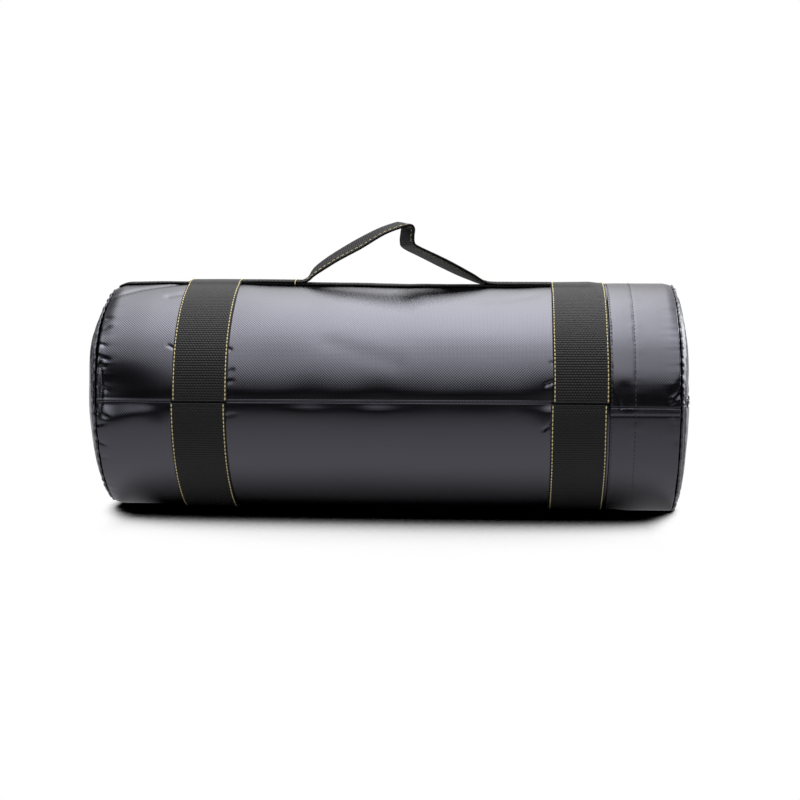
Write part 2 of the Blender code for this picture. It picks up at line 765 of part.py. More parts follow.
def build_bag():
    clear_scene()
    coated = finish("coated_fabric", (0.012, 0.012, 0.015), 0.25)
    smooth = finish("smooth_coated_fabric", (0.013, 0.013, 0.016), 0.22)
    webbing = finish("webbing", (0.020, 0.019, 0.020), 0.75)
    tape = finish("woven_tape", (0.018, 0.018, 0.018), 0.8)
    plastic = finish("zip_plastic", (0.015, 0.015, 0.015), 0.35)
    steel = finish("zip_steel", (0.10, 0.10, 0.11), 0.3, metallic=1.0)
    foam = finish("foam", (0.12, 0.12, 0.13), 0.9)
    nylon = finish("filler_nylon", (0.05, 0.06, 0.08), 0.6)
    sand = finish("sand", (0.62, 0.50, 0.33), 0.95)
    cord = finish("tie_cord", (0.75, 0.72, 0.62), 0.8)
    build_panels(coated)
    build_cuff(smooth)
    build_end_discs(coated, smooth)
    build_rim_bindings(tape)
    build_bands(webbing)
    build_spine(webbing)
    build_handle_tails(webbing)
    build_handle(webbing)
    build_zip_tapes(tape)
    build_zip_coils(plastic)
    build_zip_stops(steel)
    build_zip_slider(steel)
    build_zip_puller(steel)
    build_sleeve(foam)
    build_pads(foam)
    build_fillers(nylon, sand, cord)


build_bag()
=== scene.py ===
# %% [markdown]
# A sand-filled training bag, dressed in its cloth
#
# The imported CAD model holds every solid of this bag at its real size, but no weave, puckers or
# stitches. This script loads it as a fixed frame and sews the cloth over it, one piece at a time.
# Lengths are in metres. Angles are in radians, from the bag's top towards its front seam.

import json
import math

import bmesh
import bpy
from mathutils import Matrix, Vector, noise


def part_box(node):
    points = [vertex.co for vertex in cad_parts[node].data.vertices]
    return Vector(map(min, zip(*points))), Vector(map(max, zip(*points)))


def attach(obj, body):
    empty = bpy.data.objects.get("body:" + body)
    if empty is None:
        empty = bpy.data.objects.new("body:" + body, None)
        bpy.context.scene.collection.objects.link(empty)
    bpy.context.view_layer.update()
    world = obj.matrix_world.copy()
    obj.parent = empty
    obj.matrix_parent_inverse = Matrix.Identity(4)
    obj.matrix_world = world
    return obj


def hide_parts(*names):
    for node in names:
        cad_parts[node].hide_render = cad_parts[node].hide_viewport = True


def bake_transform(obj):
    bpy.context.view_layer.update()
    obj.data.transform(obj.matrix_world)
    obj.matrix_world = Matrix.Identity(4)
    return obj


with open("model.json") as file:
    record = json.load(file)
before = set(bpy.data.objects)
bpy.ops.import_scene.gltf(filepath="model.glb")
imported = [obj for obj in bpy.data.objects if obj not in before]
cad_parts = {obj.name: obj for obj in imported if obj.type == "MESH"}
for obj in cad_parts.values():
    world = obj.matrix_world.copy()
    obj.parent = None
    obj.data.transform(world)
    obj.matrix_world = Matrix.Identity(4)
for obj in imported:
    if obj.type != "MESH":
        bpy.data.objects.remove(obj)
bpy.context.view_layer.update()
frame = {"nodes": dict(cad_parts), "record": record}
scene = bpy.context.scene

# %% [markdown]
# The camera comes first. Its place was found by fitting a pinhole camera to the seams and bands.
# A long lens gives a nearly flat view.

# %% Camera
CAMERA_PLACE = Vector((0.1031, -1.5244, 0.2197))
CAMERA_AIM = Vector((0.0091, 0, 0.0995))
LENS_MM = 72.1

camera = bpy.data.objects.new("photo_camera", bpy.data.cameras.new("photo_camera"))
camera.location = CAMERA_PLACE
camera.rotation_euler = (CAMERA_AIM - CAMERA_PLACE).to_track_quat("-Z", "Y").to_euler()
camera.data.lens = LENS_MM
scene.collection.objects.link(camera)
scene.camera = camera
print("camera is", round((CAMERA_AIM - CAMERA_PLACE).length, 3), "m from its aim")

# %% [markdown]
# Shader nodes are easier to read as sums, so these helpers add a node, a sum or a group. An input
# is a value or the socket that feeds it, and a socket knows its node tree.

# %% Helpers for shader nodes


def feed(made, inputs):
    """Links the sockets among a node's inputs, and sets everything else as a value."""
    for key, value in inputs.items():
        if isinstance(value, bpy.types.NodeSocket):
            made.id_data.links.new(value, made.inputs[key])
        else:
            made.inputs[key].default_value = value
    return made


def node(tree, kind, inputs=None, **settings):
    """Adds a node, and gives its outputs."""
    made = tree.nodes.new(kind)
    for name, value in settings.items():
        setattr(made, name, value)
    return feed(made, inputs or {}).outputs


def calc(operation, first, second=0.0, third=0.0):
    """One Math node's result."""
    inputs = {0: first, 1: second, 2: third}
    return node(first.id_data, "ShaderNodeMath", inputs, operation=operation)[0]


def product(first, *others):
    for other in others:
        first = calc("MULTIPLY", first, other)
    return first


def blended(share, *colours):
    """A colour between two others, each of them a socket or three values."""
    first, second = [(*c, 1) if isinstance(c, tuple) else c for c in colours]
    inputs = {"Factor": share, 6: first, 7: second}
    return node(share.id_data, "ShaderNodeMix", inputs, data_type="RGBA")[2]


def ranged(value, low, high, to_low=0.0, to_high=1.0):
    """Maps a value from one range to another, with soft ends."""
    inputs = {0: value, 1: low, 2: high, 3: to_low, 4: to_high}
    return node(value.id_data, "ShaderNodeMapRange", inputs, interpolation_type="SMOOTHSTEP")[0]


def split(vector):
    return node(vector.id_data, "ShaderNodeSeparateXYZ", {0: vector})


def noisy(vector, scale, detail):
    inputs = {"Vector": vector, "Scale": scale, "Detail": detail}
    return node(vector.id_data, "ShaderNodeTexNoise", inputs)["Fac"]


def new_group(name, takes, gives):
    """An empty shader group, the outputs of its first node, and its last node."""
    group = bpy.data.node_groups.new(name, "ShaderNodeTree")
    for side, labels in (("INPUT", takes), ("OUTPUT", gives)):
        for label in labels:
            kind = "NodeSocketVector" if label == "Vector" else "NodeSocketFloat"
            group.interface.new_socket(label, in_out=side, socket_type=kind)
    return group, group.nodes.new("NodeGroupInput").outputs, group.nodes.new("NodeGroupOutput")


print("shader helpers ready")

# %% [markdown]
# The cloth is embossed with tiny diamonds. As geometry they would take millions of faces, so they
# are a height for a Bump node. Two cosines multiplied give bumps in a diagonal pattern.

# %% Group: diamond emboss
emboss_group, taken, given = new_group("diamond_emboss", ["Vector", "Pitch"], ["Height"])
turns = [calc("DIVIDE", way, taken["Pitch"]) for way in split(taken["Vector"])[:2]]
feed(given, {"Height": product(*[calc("COSINE", product(turn, math.tau)) for turn in turns])})
print("emboss group has", len(emboss_group.nodes), "nodes")

# %% [markdown]
# Webbing is woven in ribs that run across it. The group rounds each rib and each thread, and shifts
# every second row by half a thread. It gives a height, and a mask of the highest threads.

# %% Group: ribbed weave
weave_group, taken, given = new_group(
    "ribbed_weave", ["Vector", "Rib", "Thread"], ["Height", "Crests"]
)
across, along, _ = split(taken["Vector"])
rows = calc("DIVIDE", along, taken["Rib"])
shift = product(calc("FLOOR", rows), 0.5)
threads = calc("ADD", calc("DIVIDE", across, taken["Thread"]), shift)
rib_round, thread_round = [
    calc("ABSOLUTE", calc("SINE", product(value, math.pi))) for value in (rows, threads)
]
height = product(rib_round, calc("MULTIPLY_ADD", thread_round, 0.65, 0.35))
feed(given, {"Height": height, "Crests": ranged(height, 0.55, 0.95)})
print("weave group has", len(weave_group.nodes), "nodes")

# %% [markdown]
# Nothing on a used bag is one flat colour. This group gives slow patches of wear and fine specks of
# dust, from noise on a position in metres.

# %% Group: wear and dust
SPECKS_PER_METRE = 900.0
wear_group, taken, given = new_group(
    "wear_and_dust", ["Vector", "Patch scale"], ["Patches", "Specks"]
)
patches = noisy(taken["Vector"], taken["Patch scale"], 4.0)
specks = noisy(taken["Vector"], SPECKS_PER_METRE, 1.0)
feed(given, {"Patches": ranged(patches, 0.35, 0.65), "Specks": ranged(specks, 0.68, 0.76)})
print("wear group has", len(wear_group.nodes), "nodes")

# %% [markdown]
# The cloth is black pigment under a glossy coating. The eye sees mostly what the coating mirrors,
# so roughness and emboss matter more than colour. Values that are the same all over sit on the
# shader itself.

# %% Materials: coated cloth
EMBOSS_PITCH = 0.0024
COATING_TINT = (0.85, 0.85, 1.0, 1.0)


def new_material(name):
    """A material, its node tree and its Principled shader."""
    material = bpy.data.materials.new(name)
    material.use_nodes = True
    return material, material.node_tree, material.node_tree.nodes["Principled BSDF"]


def grouped(group, vector, **values):
    """Places a shared group in a material."""
    inputs = {"Vector": vector, **{label.replace("_", " "): v for label, v in values.items()}}
    return node(vector.id_data, "ShaderNodeGroup", inputs, node_tree=group)


def position_in(tree):
    return node(tree, "ShaderNodeTexCoord")["Object"]


def surface_in(tree):
    return node(tree, "ShaderNodeUVMap", uv_map="UVMap")[0]


def bump(height, depth):
    """The bent normal for a height. The depth is in metres for a height of one."""
    inputs = {"Height": height, "Distance": depth, "Strength": 1.0}
    return node(height.id_data, "ShaderNodeBump", inputs)[0]


def coated_cloth(name, emboss_depth, roughness, ior):
    material, tree, shader = new_material(name)
    wear = grouped(wear_group, position_in(tree), Patch_scale=22.0)
    emboss = grouped(emboss_group, surface_in(tree), Pitch=EMBOSS_PITCH)
    black = blended(wear["Patches"], (0.0004, 0.0004, 0.0012), (0.0010, 0.0010, 0.0022))
    feed(shader, {
        "Base Color": blended(product(wear["Specks"], 0.12), black, (0.05, 0.05, 0.055)),
        "Roughness": ranged(wear["Patches"], 0, 1, roughness, roughness + 0.03),
        "IOR": ior,
        "Specular Tint": COATING_TINT,
        "Normal": bump(emboss["Height"], emboss_depth),
    })
    return material


body_cloth = coated_cloth("embossed_cloth", 0.00006, 0.12, 2.0)
cuff_cloth = coated_cloth("smooth_cloth", 0.00003, 0.22, 1.9)
print("cloth materials:", body_cloth.name, cuff_cloth.name)

# %% [markdown]
# Webbing and tape share the weave at different sizes. The crests of the threads are greyer: dust
# that the yarn catches there, and a painted highlight where it catches the light. Sheen stands for
# its fuzz.

# %% Materials: webbing, tape and thread
SELVAGE = 0.0026
BLACK_YARN = (0.0015, 0.0015, 0.0018)
GREY_CREST_DUST_AND_HIGHLIGHT = (0.018, 0.018, 0.020)
STRAP_CREST_DUST_AND_HIGHLIGHT = (0.0055, 0.0055, 0.0065)


def woven(name, rib, thread, depth, light, width, gloss=0.34):
    """A weave with a tighter, darker selvage along both sides."""
    material, tree, shader = new_material(name)
    surface = surface_in(tree)
    wear = grouped(wear_group, surface, Patch_scale=60.0)
    weave = grouped(weave_group, surface, Rib=rib, Thread=thread)
    edge = calc("ABSOLUTE", split(surface)[0])
    inner = ranged(edge, width / 2 - SELVAGE, width / 2 - SELVAGE / 2, 1.0, 0.15)
    share = calc("MULTIPLY_ADD", wear["Patches"], 0.3, 0.7)
    feed(shader, {
        # The crests' grey is dust and a painted highlight together.
        "Base Color": blended(product(weave["Crests"], share, inner), BLACK_YARN, light),
        "Roughness": 0.48,
        "Specular IOR Level": gloss,
        "Sheen Weight": 0.03,
        "Sheen Roughness": 0.4,
        "Normal": bump(weave["Height"], depth),
    })
    return material


def thread_finish(name, dark, light):
    """Twisted sewing thread: slanting plies that run from dark to light."""
    material, tree, shader = new_material(name)
    inputs = {"Vector": position_in(tree), "Scale": 700.0, "Distortion": 2.0}
    plies = node(tree, "ShaderNodeTexWave", inputs, bands_direction="DIAGONAL")["Fac"]
    inputs = {"Base Color": blended(plies, dark, light), "Normal": bump(plies, 0.00005)}
    feed(shader, {**inputs, "Roughness": 0.55, "Sheen Weight": 0.2})
    return material


wide_webbing = woven("wide_webbing", 0.0023, 0.0027, 0.0004, GREY_CREST_DUST_AND_HIGHLIGHT, 0.050)
strap_webbing = woven("strap_webbing", 0.0020, 0.0022, 0.0003, STRAP_CREST_DUST_AND_HIGHLIGHT, 0.038, 0.18)
tape = woven("zip_tape_weave", 0.0008, 0.0008, 0.0001, (0.02, 0.02, 0.021), 0.032)
yellow_thread = thread_finish("yellow_thread", (0.82, 0.6, 0.17), (1.0, 0.93, 0.58))
black_thread = thread_finish("black_thread", (0.002, 0.002, 0.003), (0.007, 0.007, 0.009))
print("woven materials:", wide_webbing.name, strap_webbing.name, tape.name)

# %% [markdown]
# The zip is dark plated metal with moulded teeth. What is inside the bag can't be seen, but has its
# own finishes too: foam, proofed nylon, sand and cord.

# %% Materials: zip and filling


def grainy(name, dark, light, scale, depth, roughness, metallic=0.0):
    """A finish whose colour, gloss and height follow one noise."""
    material, tree, shader = new_material(name)
    grain = noisy(position_in(tree), scale, 3.0)
    feed(shader, {
        "Base Color": blended(ranged(grain, 0.35, 0.65), dark, light),
        "Roughness": ranged(grain, 0.3, 0.7, roughness * 0.8, roughness * 1.15),
        "Metallic": metallic,
        "Normal": bump(grain, depth),
    })
    return material


zip_metal = grainy("dark_plated_metal", (0.05, 0.05, 0.055), (0.11, 0.11, 0.12), 900, 1e-5, 0.3, 1.0)
zip_plastic = grainy("moulded_plastic", (0.012, 0.012, 0.012), (0.02, 0.02, 0.02), 1500, 1e-5, 0.4)
INNER_FINISHES = {
    "foam": grainy("foam", (0.09, 0.09, 0.1), (0.15, 0.15, 0.16), 900, 0.0002, 0.9),
    "filler_nylon": grainy("filler_nylon", (0.04, 0.05, 0.07), (0.06, 0.07, 0.09), 300, 0.0001, 0.6),
    "sand": grainy("sand", (0.45, 0.33, 0.19), (0.75, 0.62, 0.42), 1200, 0.0004, 0.95),
    "tie_cord": grainy("tie_cord", (0.6, 0.57, 0.48), (0.8, 0.77, 0.68), 1500, 0.0002, 0.85),
    "woven_tape": grainy("binding_tape", (0.01, 0.01, 0.01), (0.025, 0.025, 0.025), 800, 0.0001, 0.8),
}
slots = {row["node"]: row["material_slot"] for row in frame["record"]["subparts"]}
for name, thing in frame["nodes"].items():
    for place in thing.material_slots:
        place.material = INNER_FINISHES.get(slots[name], zip_metal)
print(len(slots), "CAD nodes have a finish")

# %% [markdown]
# A point on the bag is given by its place along it, its angle from the top, and its lift off the
# smooth shell, whose measures are read off the frame. The sand flattens the underside, and a soft
# maximum rounds the corner of that flat.

# %% Measures and the bag's section
FABRIC = 0.0012
CLOTH_GAP = 0.0003
WEBBING = 0.002
SPINE_THICKNESS = 0.0014
FLAT_CORNER = 0.0015
RIM_STRIP = 0.0006

panel_low, panel_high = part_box("upper_panel")
RADIUS = (panel_high.y - panel_low.y) / 2
AXIS_HEIGHT = panel_high.z - RADIUS
FLAT_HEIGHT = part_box("lower_panel")[0].z - AXIS_HEIGHT
LEFT_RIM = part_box("left_end_disc")[1].x - FABRIC
RIGHT_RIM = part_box("right_end_disc_upper")[0].x + FABRIC
CLOTH_START = LEFT_RIM + RIM_STRIP
CLOTH_END = RIGHT_RIM - RIM_STRIP
CUFF_LIFT = CLOTH_GAP + FABRIC
SEAM = math.radians(89.3)
SEAM_GAP = 0.0002 / RADIUS


def on_bag(x, angle, lift=0.0, share=1.0):
    """The place at x along the bag and at this angle. share scales its distance from the axis."""
    radius = RADIUS + lift
    flat = FLAT_HEIGHT - lift
    above = (radius * math.cos(angle) - flat) / FLAT_CORNER
    up = flat + FLAT_CORNER * math.log1p(math.exp(above))
    return Vector((x, -share * radius * math.sin(angle), AXIS_HEIGHT + share * up))


def wrap(angle):
    """The same angle between minus half a turn and half a turn."""
    return (angle + math.pi) % math.tau - math.pi


def smooth_step(value, low, high):
    share = min(max((value - low) / (high - low), 0), 1)
    return share * share * (3 - 2 * share)


def bell(value, centre, spread):
    """One at the centre, falling off smoothly on both sides."""
    return math.exp(-(((value - centre) / spread) ** 2))


# How far the filled bag's top has sunk: place along the bag, and depth
TOP_SINK = [
    (-0.264, 0.0056), (-0.248, 0.001), (-0.215, 0.0003), (-0.13, 0.0008), (-0.06, 0.0013), (0.04, 0.0026),
    (0.13, 0.0032), (0.18, 0.0034), (0.215, 0.0022), (0.255, 0.0022), (0.27, 0.005),
]
LOOP_CLEAR = (0.004, 0.026)
CORNER_RISE = 0.008
RISE_ENDS = (-0.275, -0.250)
RISE_HEIGHT = 0.045
CUFF_SINK = 0.0018
CUFF_SINK_START = (0.205, 0.225)


def settle(point):
    """Moves a point of the ideal round bag to where the filling's weight has brought it."""
    up = point.z - AXIS_HEIGHT
    sink = TOP_SINK[0][1]
    for (x1, depth1), (x2, depth2) in zip(TOP_SINK, TOP_SINK[1:]):
        sink += (depth2 - depth1) * smooth_step(point.x, x1, x2)
    on_top = smooth_step(up, RADIUS * 0.35, RADIUS * 0.97)
    above = up - RADIUS - WEBBING - CLOTH_GAP
    sink *= on_top * (1 - smooth_step(above, *LOOP_CLEAR))
    rise = CORNER_RISE * (1 - smooth_step(point.x, *RISE_ENDS))
    rise -= CUFF_SINK * smooth_step(point.x, *CUFF_SINK_START) * smooth_step(point.z, 0, 0.003)
    return point + Vector((0, 0, rise * (1 - smooth_step(point.z, 0, RISE_HEIGHT)) - sink))


print(f"shell {RIGHT_RIM - LEFT_RIM:.4f} m long, radius {RADIUS:.4f} m")

# %% [markdown]
# Cloth over sand is never smooth. Five things shape it, each a plain formula of the place: a slow
# swell, the pull of the seams, gathers at the rims, sag under the handle, and creases read off the
# photograph. A simulation would give folds too, but other ones.

# %% The shape of the cloth
SWELL = 0.0006
SWELL_SIZE = 0.055
PULL = 0.0005
PULL_REACH = 0.008
LONG_REACH = 0.018
LOW_REACH = 0.006
PULL_WIDTH = 0.017
FRONT_PULLS = [(-0.066, 0.0008), (-0.004, 0.0009), (0.054, -0.0002), (0.116, -0.0003), (0.152, 0.0022)]
BACK_PULLS = [(-0.190, 0.0018), (-0.110, 0.0012), (-0.030, 0.0017), (0.036, 0.0012), (0.104, 0.0019)]
# Hollows a little below the seam: place along the bag, width, and depth
LOW_HOLLOWS = [(-0.246, 0.010, 0.0012), (-0.203, 0.009, 0.0011), (0.143, 0.008, 0.0008)]
HOLLOW_AT = 0.009
HOLLOW_REACH = 0.008
CORNER_PULL = 0.0060
CORNER_AT = 0.013
CORNER_REACH = (0.030, 0.026)
CORNER_PLACE = -0.250
CORNER_WIDTH = 0.042
CORNER_LOW = 0.0035
RIM_FREE = 0.006
PUFF = 0.0013
PUFF_LENGTH = 0.022
PUFF_START = (0.011, 0.022)
PUFF_END = (0.03, 0.07)
GATHER = 0.0005
GATHER_SIZE = 0.0075
GATHER_REACH = 0.011
SAG = 0.0008
SAG_ARC = math.radians(26)
SAG_START = (-0.085, -0.03)
SAG_END = (0.05, 0.11)
SAG_SIZE = 0.022
BAND_WIDTH = 0.050
BANDS = {side: sum(end.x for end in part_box(f"{side}_band_upper")) / 2 for side in ("left", "right")}

# Each crease: place along the bag and degrees from the top at its start and its end, width, depth
CREASES = [
    (-0.262, 29.7, -0.233, 19.5, 0.0026, 0.0016), (-0.233, 19.5, -0.193, 11, 0.0026, 0.0015),
    (-0.203, 27.8, -0.189, 25.2, 0.0022, 0.001), (-0.195, 61.2, -0.1895, 62.8, 0.0015, 0.0009),
    (-0.1405, 62.8, -0.138, 63.2, 0.0014, 0.001), (-0.1405, 75.5, -0.135, 73.8, 0.0018, 0.0006),
    (-0.1405, 80, -0.135, 79, 0.0016, 0.0006), (0.152, 70, 0.1495, 69.6, 0.0013, 0.0006),
    (0.151, 79, 0.145, 80.5, 0.0015, 0.0009), (0.15, 99.5, 0.143, 102, 0.0013, 0.0012),
    (-0.14, 96, -0.134, 95, 0.0014, 0.0008), (-0.259, 43, -0.253, 44.5, 0.002, 0.0008),
    (-0.259, 52, -0.252, 50.5, 0.0016, 0.0009), (-0.259, 60, -0.2535, 61, 0.0013, 0.0009),
    (-0.259, 66.5, -0.25, 68.5, 0.0016, 0.0011), (-0.259, 73, -0.254, 72, 0.0014, 0.0009),
    (-0.259, 81, -0.251, 83.5, 0.0016, 0.0011), (-0.259, 93.5, -0.25, 97, 0.0016, 0.0011),
    (-0.259, 101, -0.254, 100, 0.0014, 0.0009), (-0.259, 109, -0.252, 111, 0.0015, 0.001),
    (-0.259, 119, -0.254, 118, 0.0016, 0.0009), (0.095, 31, 0.135, 24, 0.005, 0.0005),
    (-0.05, 60, 0.01, 70, 0.009, 0.0005),
]


def crease_depth(x, angle, creases):
    """How far the creases near this place draw the cloth in."""
    spot = Vector((x, RADIUS * wrap(angle)))
    deepest = 0.0
    for x1, degrees1, x2, degrees2, width, depth in creases:
        if min(x1, x2) - 3 * width < x < max(x1, x2) + 3 * width:
            start = Vector((x1, RADIUS * math.radians(degrees1)))
            line = Vector((x2, RADIUS * math.radians(degrees2))) - start
            share = (spot - start).dot(line) / line.length_squared
            nearest = start + line * min(max(share, 0), 1)
            deepest = max(deepest, depth * bell((spot - nearest).length, 0, width))
    return deepest


def seam_distance(angle):
    return RADIUS * abs(abs(wrap(angle)) - SEAM)


def seam_pull(x, angle):
    """Where the seams draw the cloth in, more at some places than at others."""
    pulls = FRONT_PULLS if wrap(angle) > 0 else BACK_PULLS
    extra = sum(s * bell(x, at, PULL_WIDTH) for at, s in pulls)
    corner = CORNER_PULL * bell(x, CORNER_PLACE, CORNER_WIDTH)
    corner *= smooth_step(x, CLOTH_START, CLOTH_START + RIM_FREE)
    away = seam_distance(angle)
    if abs(wrap(angle)) > SEAM:
        at_seam = PULL + extra + corner * bell(0, CORNER_AT, CORNER_REACH[0])
        reach = LOW_REACH + CORNER_LOW * corner / CORNER_PULL
        hollows = sum(depth * bell(x, at, width) for at, width, depth in LOW_HOLLOWS)
        return at_seam * bell(away, 0, reach) + hollows * bell(away, HOLLOW_AT, HOLLOW_REACH)
    corner *= bell(away, CORNER_AT, CORNER_REACH[away > CORNER_AT])
    return PULL * bell(away, 0, PULL_REACH) + extra * bell(away, 0, LONG_REACH) + corner


def puff(x, angle):
    """The cloth swells up beside a band, on both sides of the strap along the top."""
    beside = min(abs(abs(x - band) - BAND_WIDTH / 2) for band in BANDS.values())
    arc = RADIUS * abs(wrap(angle))
    reach = bell(beside, 0, PUFF_LENGTH) * (1 - smooth_step(arc, *PUFF_END))
    return PUFF * reach * smooth_step(arc, *PUFF_START)


def rim_gathers(x, angle):
    """Small radial waves where the cloth is gathered into a rim seam."""
    away = max(min(x - CLOTH_START, CLOTH_END - x), 0)
    spot = Vector((RADIUS * math.sin(angle), RADIUS * math.cos(angle), 0.02 * (x > 0)))
    wave = noise.noise(spot / GATHER_SIZE) + 0.5 * noise.noise(spot * 2.3 / GATHER_SIZE)
    return GATHER * wave * bell(away, 0, GATHER_REACH)


def off_floor(angle):
    """One on the open sides, nothing on the flat underside."""
    return smooth_step(math.cos(angle), -0.95, -0.75)


def swell(x, angle):
    """The slow unevenness that every piece on the bag follows."""
    spot = Vector((x, RADIUS * math.sin(angle), RADIUS * math.cos(angle))) / SWELL_SIZE
    return SWELL * noise.noise(spot) * off_floor(angle)


def relief(x, angle):
    """How far the body cloth stands off the smooth shell."""
    under_handle = smooth_step(x, *SAG_START) * (1 - smooth_step(x, *SAG_END))
    wave = 0.6 + 0.8 * noise.noise(Vector((x / SAG_SIZE, 4.0, 0.0)))
    sag = SAG * bell(wrap(angle), 0, SAG_ARC) * under_handle * wave
    shape = swell(x, angle) + rim_gathers(x, angle) - seam_pull(x, angle) + puff(x, angle)
    return shape * off_floor(angle) - crease_depth(x, angle, CREASES) - sag


print("relief ready:", len(CREASES), "creases")

# %% [markdown]
# All sheets are made the same way. `create_grid` gives a grid of quads, and a function moves each
# corner to its place. The UV map keeps the flat sheet's own metres, so a weave follows the cloth.
# Solidify then gives it its thickness.

# %% Helpers that make cloth


def steps(start, end, size):
    """Evenly spaced values from start to end, about this far apart."""
    count = max(round(abs(end - start) / size), 1)
    return [start + (end - start) * i / count for i in range(count + 1)]


def zoned(start, end, coarse, zones):
    """Steps that are finer inside zones, each of which is (low, high, size)."""
    marks = sorted({start, end} | {v for zone in zones for v in zone[:2] if start < v < end})
    line = [start]
    for low, high in zip(marks, marks[1:]):
        inside = [size for a, b, size in zones if a <= (low + high) / 2 <= b]
        line += steps(low, high, min(inside + [coarse]))[1:]
    return line


def edged(start, end, coarse, fine, zone, more=()):
    """Steps that are finer near both ends."""
    return zoned(start, end, coarse, [(start, start + zone, fine), (end - zone, end, fine), *more])


def span(seam, up, gap=SEAM_GAP):
    """The angles between which the upper (1) or the lower (-1) half of a piece lies."""
    return (gap - seam, seam - gap) if up > 0 else (seam + gap, math.tau - seam - gap)


def grid(columns, rows, place, flat):
    """A grid of quads with each corner moved to its place, and its flat metres as UV."""
    shape = bmesh.new()
    wide, tall = len(columns) - 1, len(rows) - 1
    bmesh.ops.create_grid(shape, x_segments=wide, y_segments=tall, size=1)
    uv = shape.loops.layers.uv.new("UVMap")
    spots = {}
    for corner in shape.verts:
        i, j = round((corner.co.x + 1) / 2 * wide), round((corner.co.y + 1) / 2 * tall)
        spots[corner] = (columns[i], rows[j])
    for face in shape.faces:
        for loop in face.loops:
            loop[uv].uv = flat(*spots[loop.vert])
    for corner, spot in spots.items():
        corner.co = place(*spot)
    return shape


def face_outwards(shape):
    """Turns an open sheet over if most of it faces the bag's axis."""
    shape.normal_update()
    outward = 0.0
    for face in shape.faces:
        centre = face.calc_center_median()
        away = centre - Vector((min(max(centre.x, LEFT_RIM), RIGHT_RIM), 0, AXIS_HEIGHT))
        outward += face.normal.dot(away) * face.calc_area()
    if outward < 0:
        bmesh.ops.reverse_faces(shape, faces=shape.faces[:])
    return shape


def merge(shape):
    bmesh.ops.remove_doubles(shape, verts=shape.verts, dist=1e-6)


def closed(shape):
    """Joins corners that coincide, and turns every face outwards."""
    merge(shape)
    bmesh.ops.recalc_face_normals(shape, faces=shape.faces)
    return shape


def linked(name, shape, material):
    """Turns a bmesh into an object of the scene."""
    mesh = bpy.data.meshes.new(name)
    shape.to_mesh(mesh)
    shape.free()
    mesh.materials.append(material)
    piece = bpy.data.objects.new(name, mesh)
    scene.collection.objects.link(piece)
    return piece


def finished(name, shape, material, slot=None, *cad_nodes, body="bag"):
    """Settles a piece on the bag and lets it ride on a body, in place of these CAD nodes."""
    for corner in shape.verts:
        corner.co = settle(corner.co)
    piece = linked(name, shape, material)
    piece.data.shade_smooth()
    if body:
        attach(piece, body)
    if slot:
        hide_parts(*cad_nodes)
    return piece


def thicken(piece, thickness):
    """Gives a sheet its cloth, on the inner side."""
    wall = piece.modifiers.new("cloth", "SOLIDIFY")
    wall.thickness = thickness
    wall.offset = -1


def sheet(name, shape, material, slot, cad_node, flat, held="stretched", thickness=FABRIC, **more):
    """Makes a sheet of cloth. Its flat size is not used."""
    piece = finished(name, shape, material, slot, cad_node)
    thicken(piece, thickness)
    print(name, "has", len(piece.data.polygons), "faces")


print("cloth helpers ready")

# %% [markdown]
# Two panels make the body, sewn together along the front and the back. At a seam the cloth rises in
# a low bead, then dives to the stitching. The upper bead is the larger one, because its seam
# allowance is pressed up behind it. Inside lie the foam and the rims' bindings.

# %% Body panels
BEAD_AT = 0.0015
BEAD_WIDTH = 0.0010
DIVE_WIDTH = 0.0005
RIM_DIVE = 0.0012
# Each panel: its name, which way it lies, and its bead and dive at the seams
PANELS = [("upper", 1, 0.0003, 0.0020), ("lower", -1, 0.0, 0.0)]
NOTCH_STEP = 0.0010
NOTCH_ARC = (math.radians(42), math.radians(120), NOTCH_STEP / RADIUS)
NOTCHES = [(-0.204, -0.188, NOTCH_STEP), (-0.142, -0.130, NOTCH_STEP), (0.140, 0.152, NOTCH_STEP)]
PANEL_STEP = 0.0026
EDGE_STEP = 0.0004
EDGE_ZONE = 0.0048
FOAM = 0.006
FOAM_GAP = 0.0022
FOAM_SLIT = 0.002 / RADIUS
# The folded binding tape's section, as metres in from the rim's side and metres deep
BINDING_FOLD = [
    (0.0, 0.0), (0.0045, 0.0), (0.0058, 0.0009), (0.0058, 0.0026), (0.0045, 0.0035), (0.0, 0.0035),
]


def turned_edge(distance, bead, dive):
    """The cloth's lift where it turns in at a seam."""
    return bead * bell(distance, BEAD_AT, BEAD_WIDTH) - dive * bell(distance, 0, DIVE_WIDTH)


def flat_arc(x, angle):
    return x, RADIUS * angle


def foam_place(x, angle):
    """The foam sheet's outside, just inside the cloth and pulled in by the same seams."""
    seam = 1 - smooth_step(seam_distance(angle), 0.001, 0.006)
    return on_bag(x, angle, relief(x, angle) - FABRIC - FOAM_GAP * (0.3 + seam))


for side, inward in (("left", 1), ("right", -1)):
    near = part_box(f"{side}_rim_binding")[inward < 0].x

    def tape_place(angle, fold):
        x = near + inward * fold[0]
        return on_bag(x, angle, relief(x, angle) - FABRIC - CLOTH_GAP - fold[1])

    ring = steps(0, math.tau, math.tau / 120)
    shape = closed(grid(ring, BINDING_FOLD, tape_place, lambda angle, fold: (fold[0], RADIUS * angle)))
    flat = (math.tau * RADIUS, 0.013)
    names = ("woven_tape", f"{side}_rim_binding")
    sheet(f"{side}_binding_tape", shape, tape, *names, flat, "folded", 0.0005)

foam_low, foam_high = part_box("foam_sleeve")
arcs = steps(FOAM_SLIT - math.pi, math.pi - FOAM_SLIT, 0.004 / RADIUS)
shape = face_outwards(grid(steps(foam_low.x, foam_high.x, 0.005), arcs, foam_place, flat_arc))
foam = finished("foam_roll", shape, INNER_FINISHES["foam"], "foam", "foam_sleeve")
thicken(foam, FOAM)

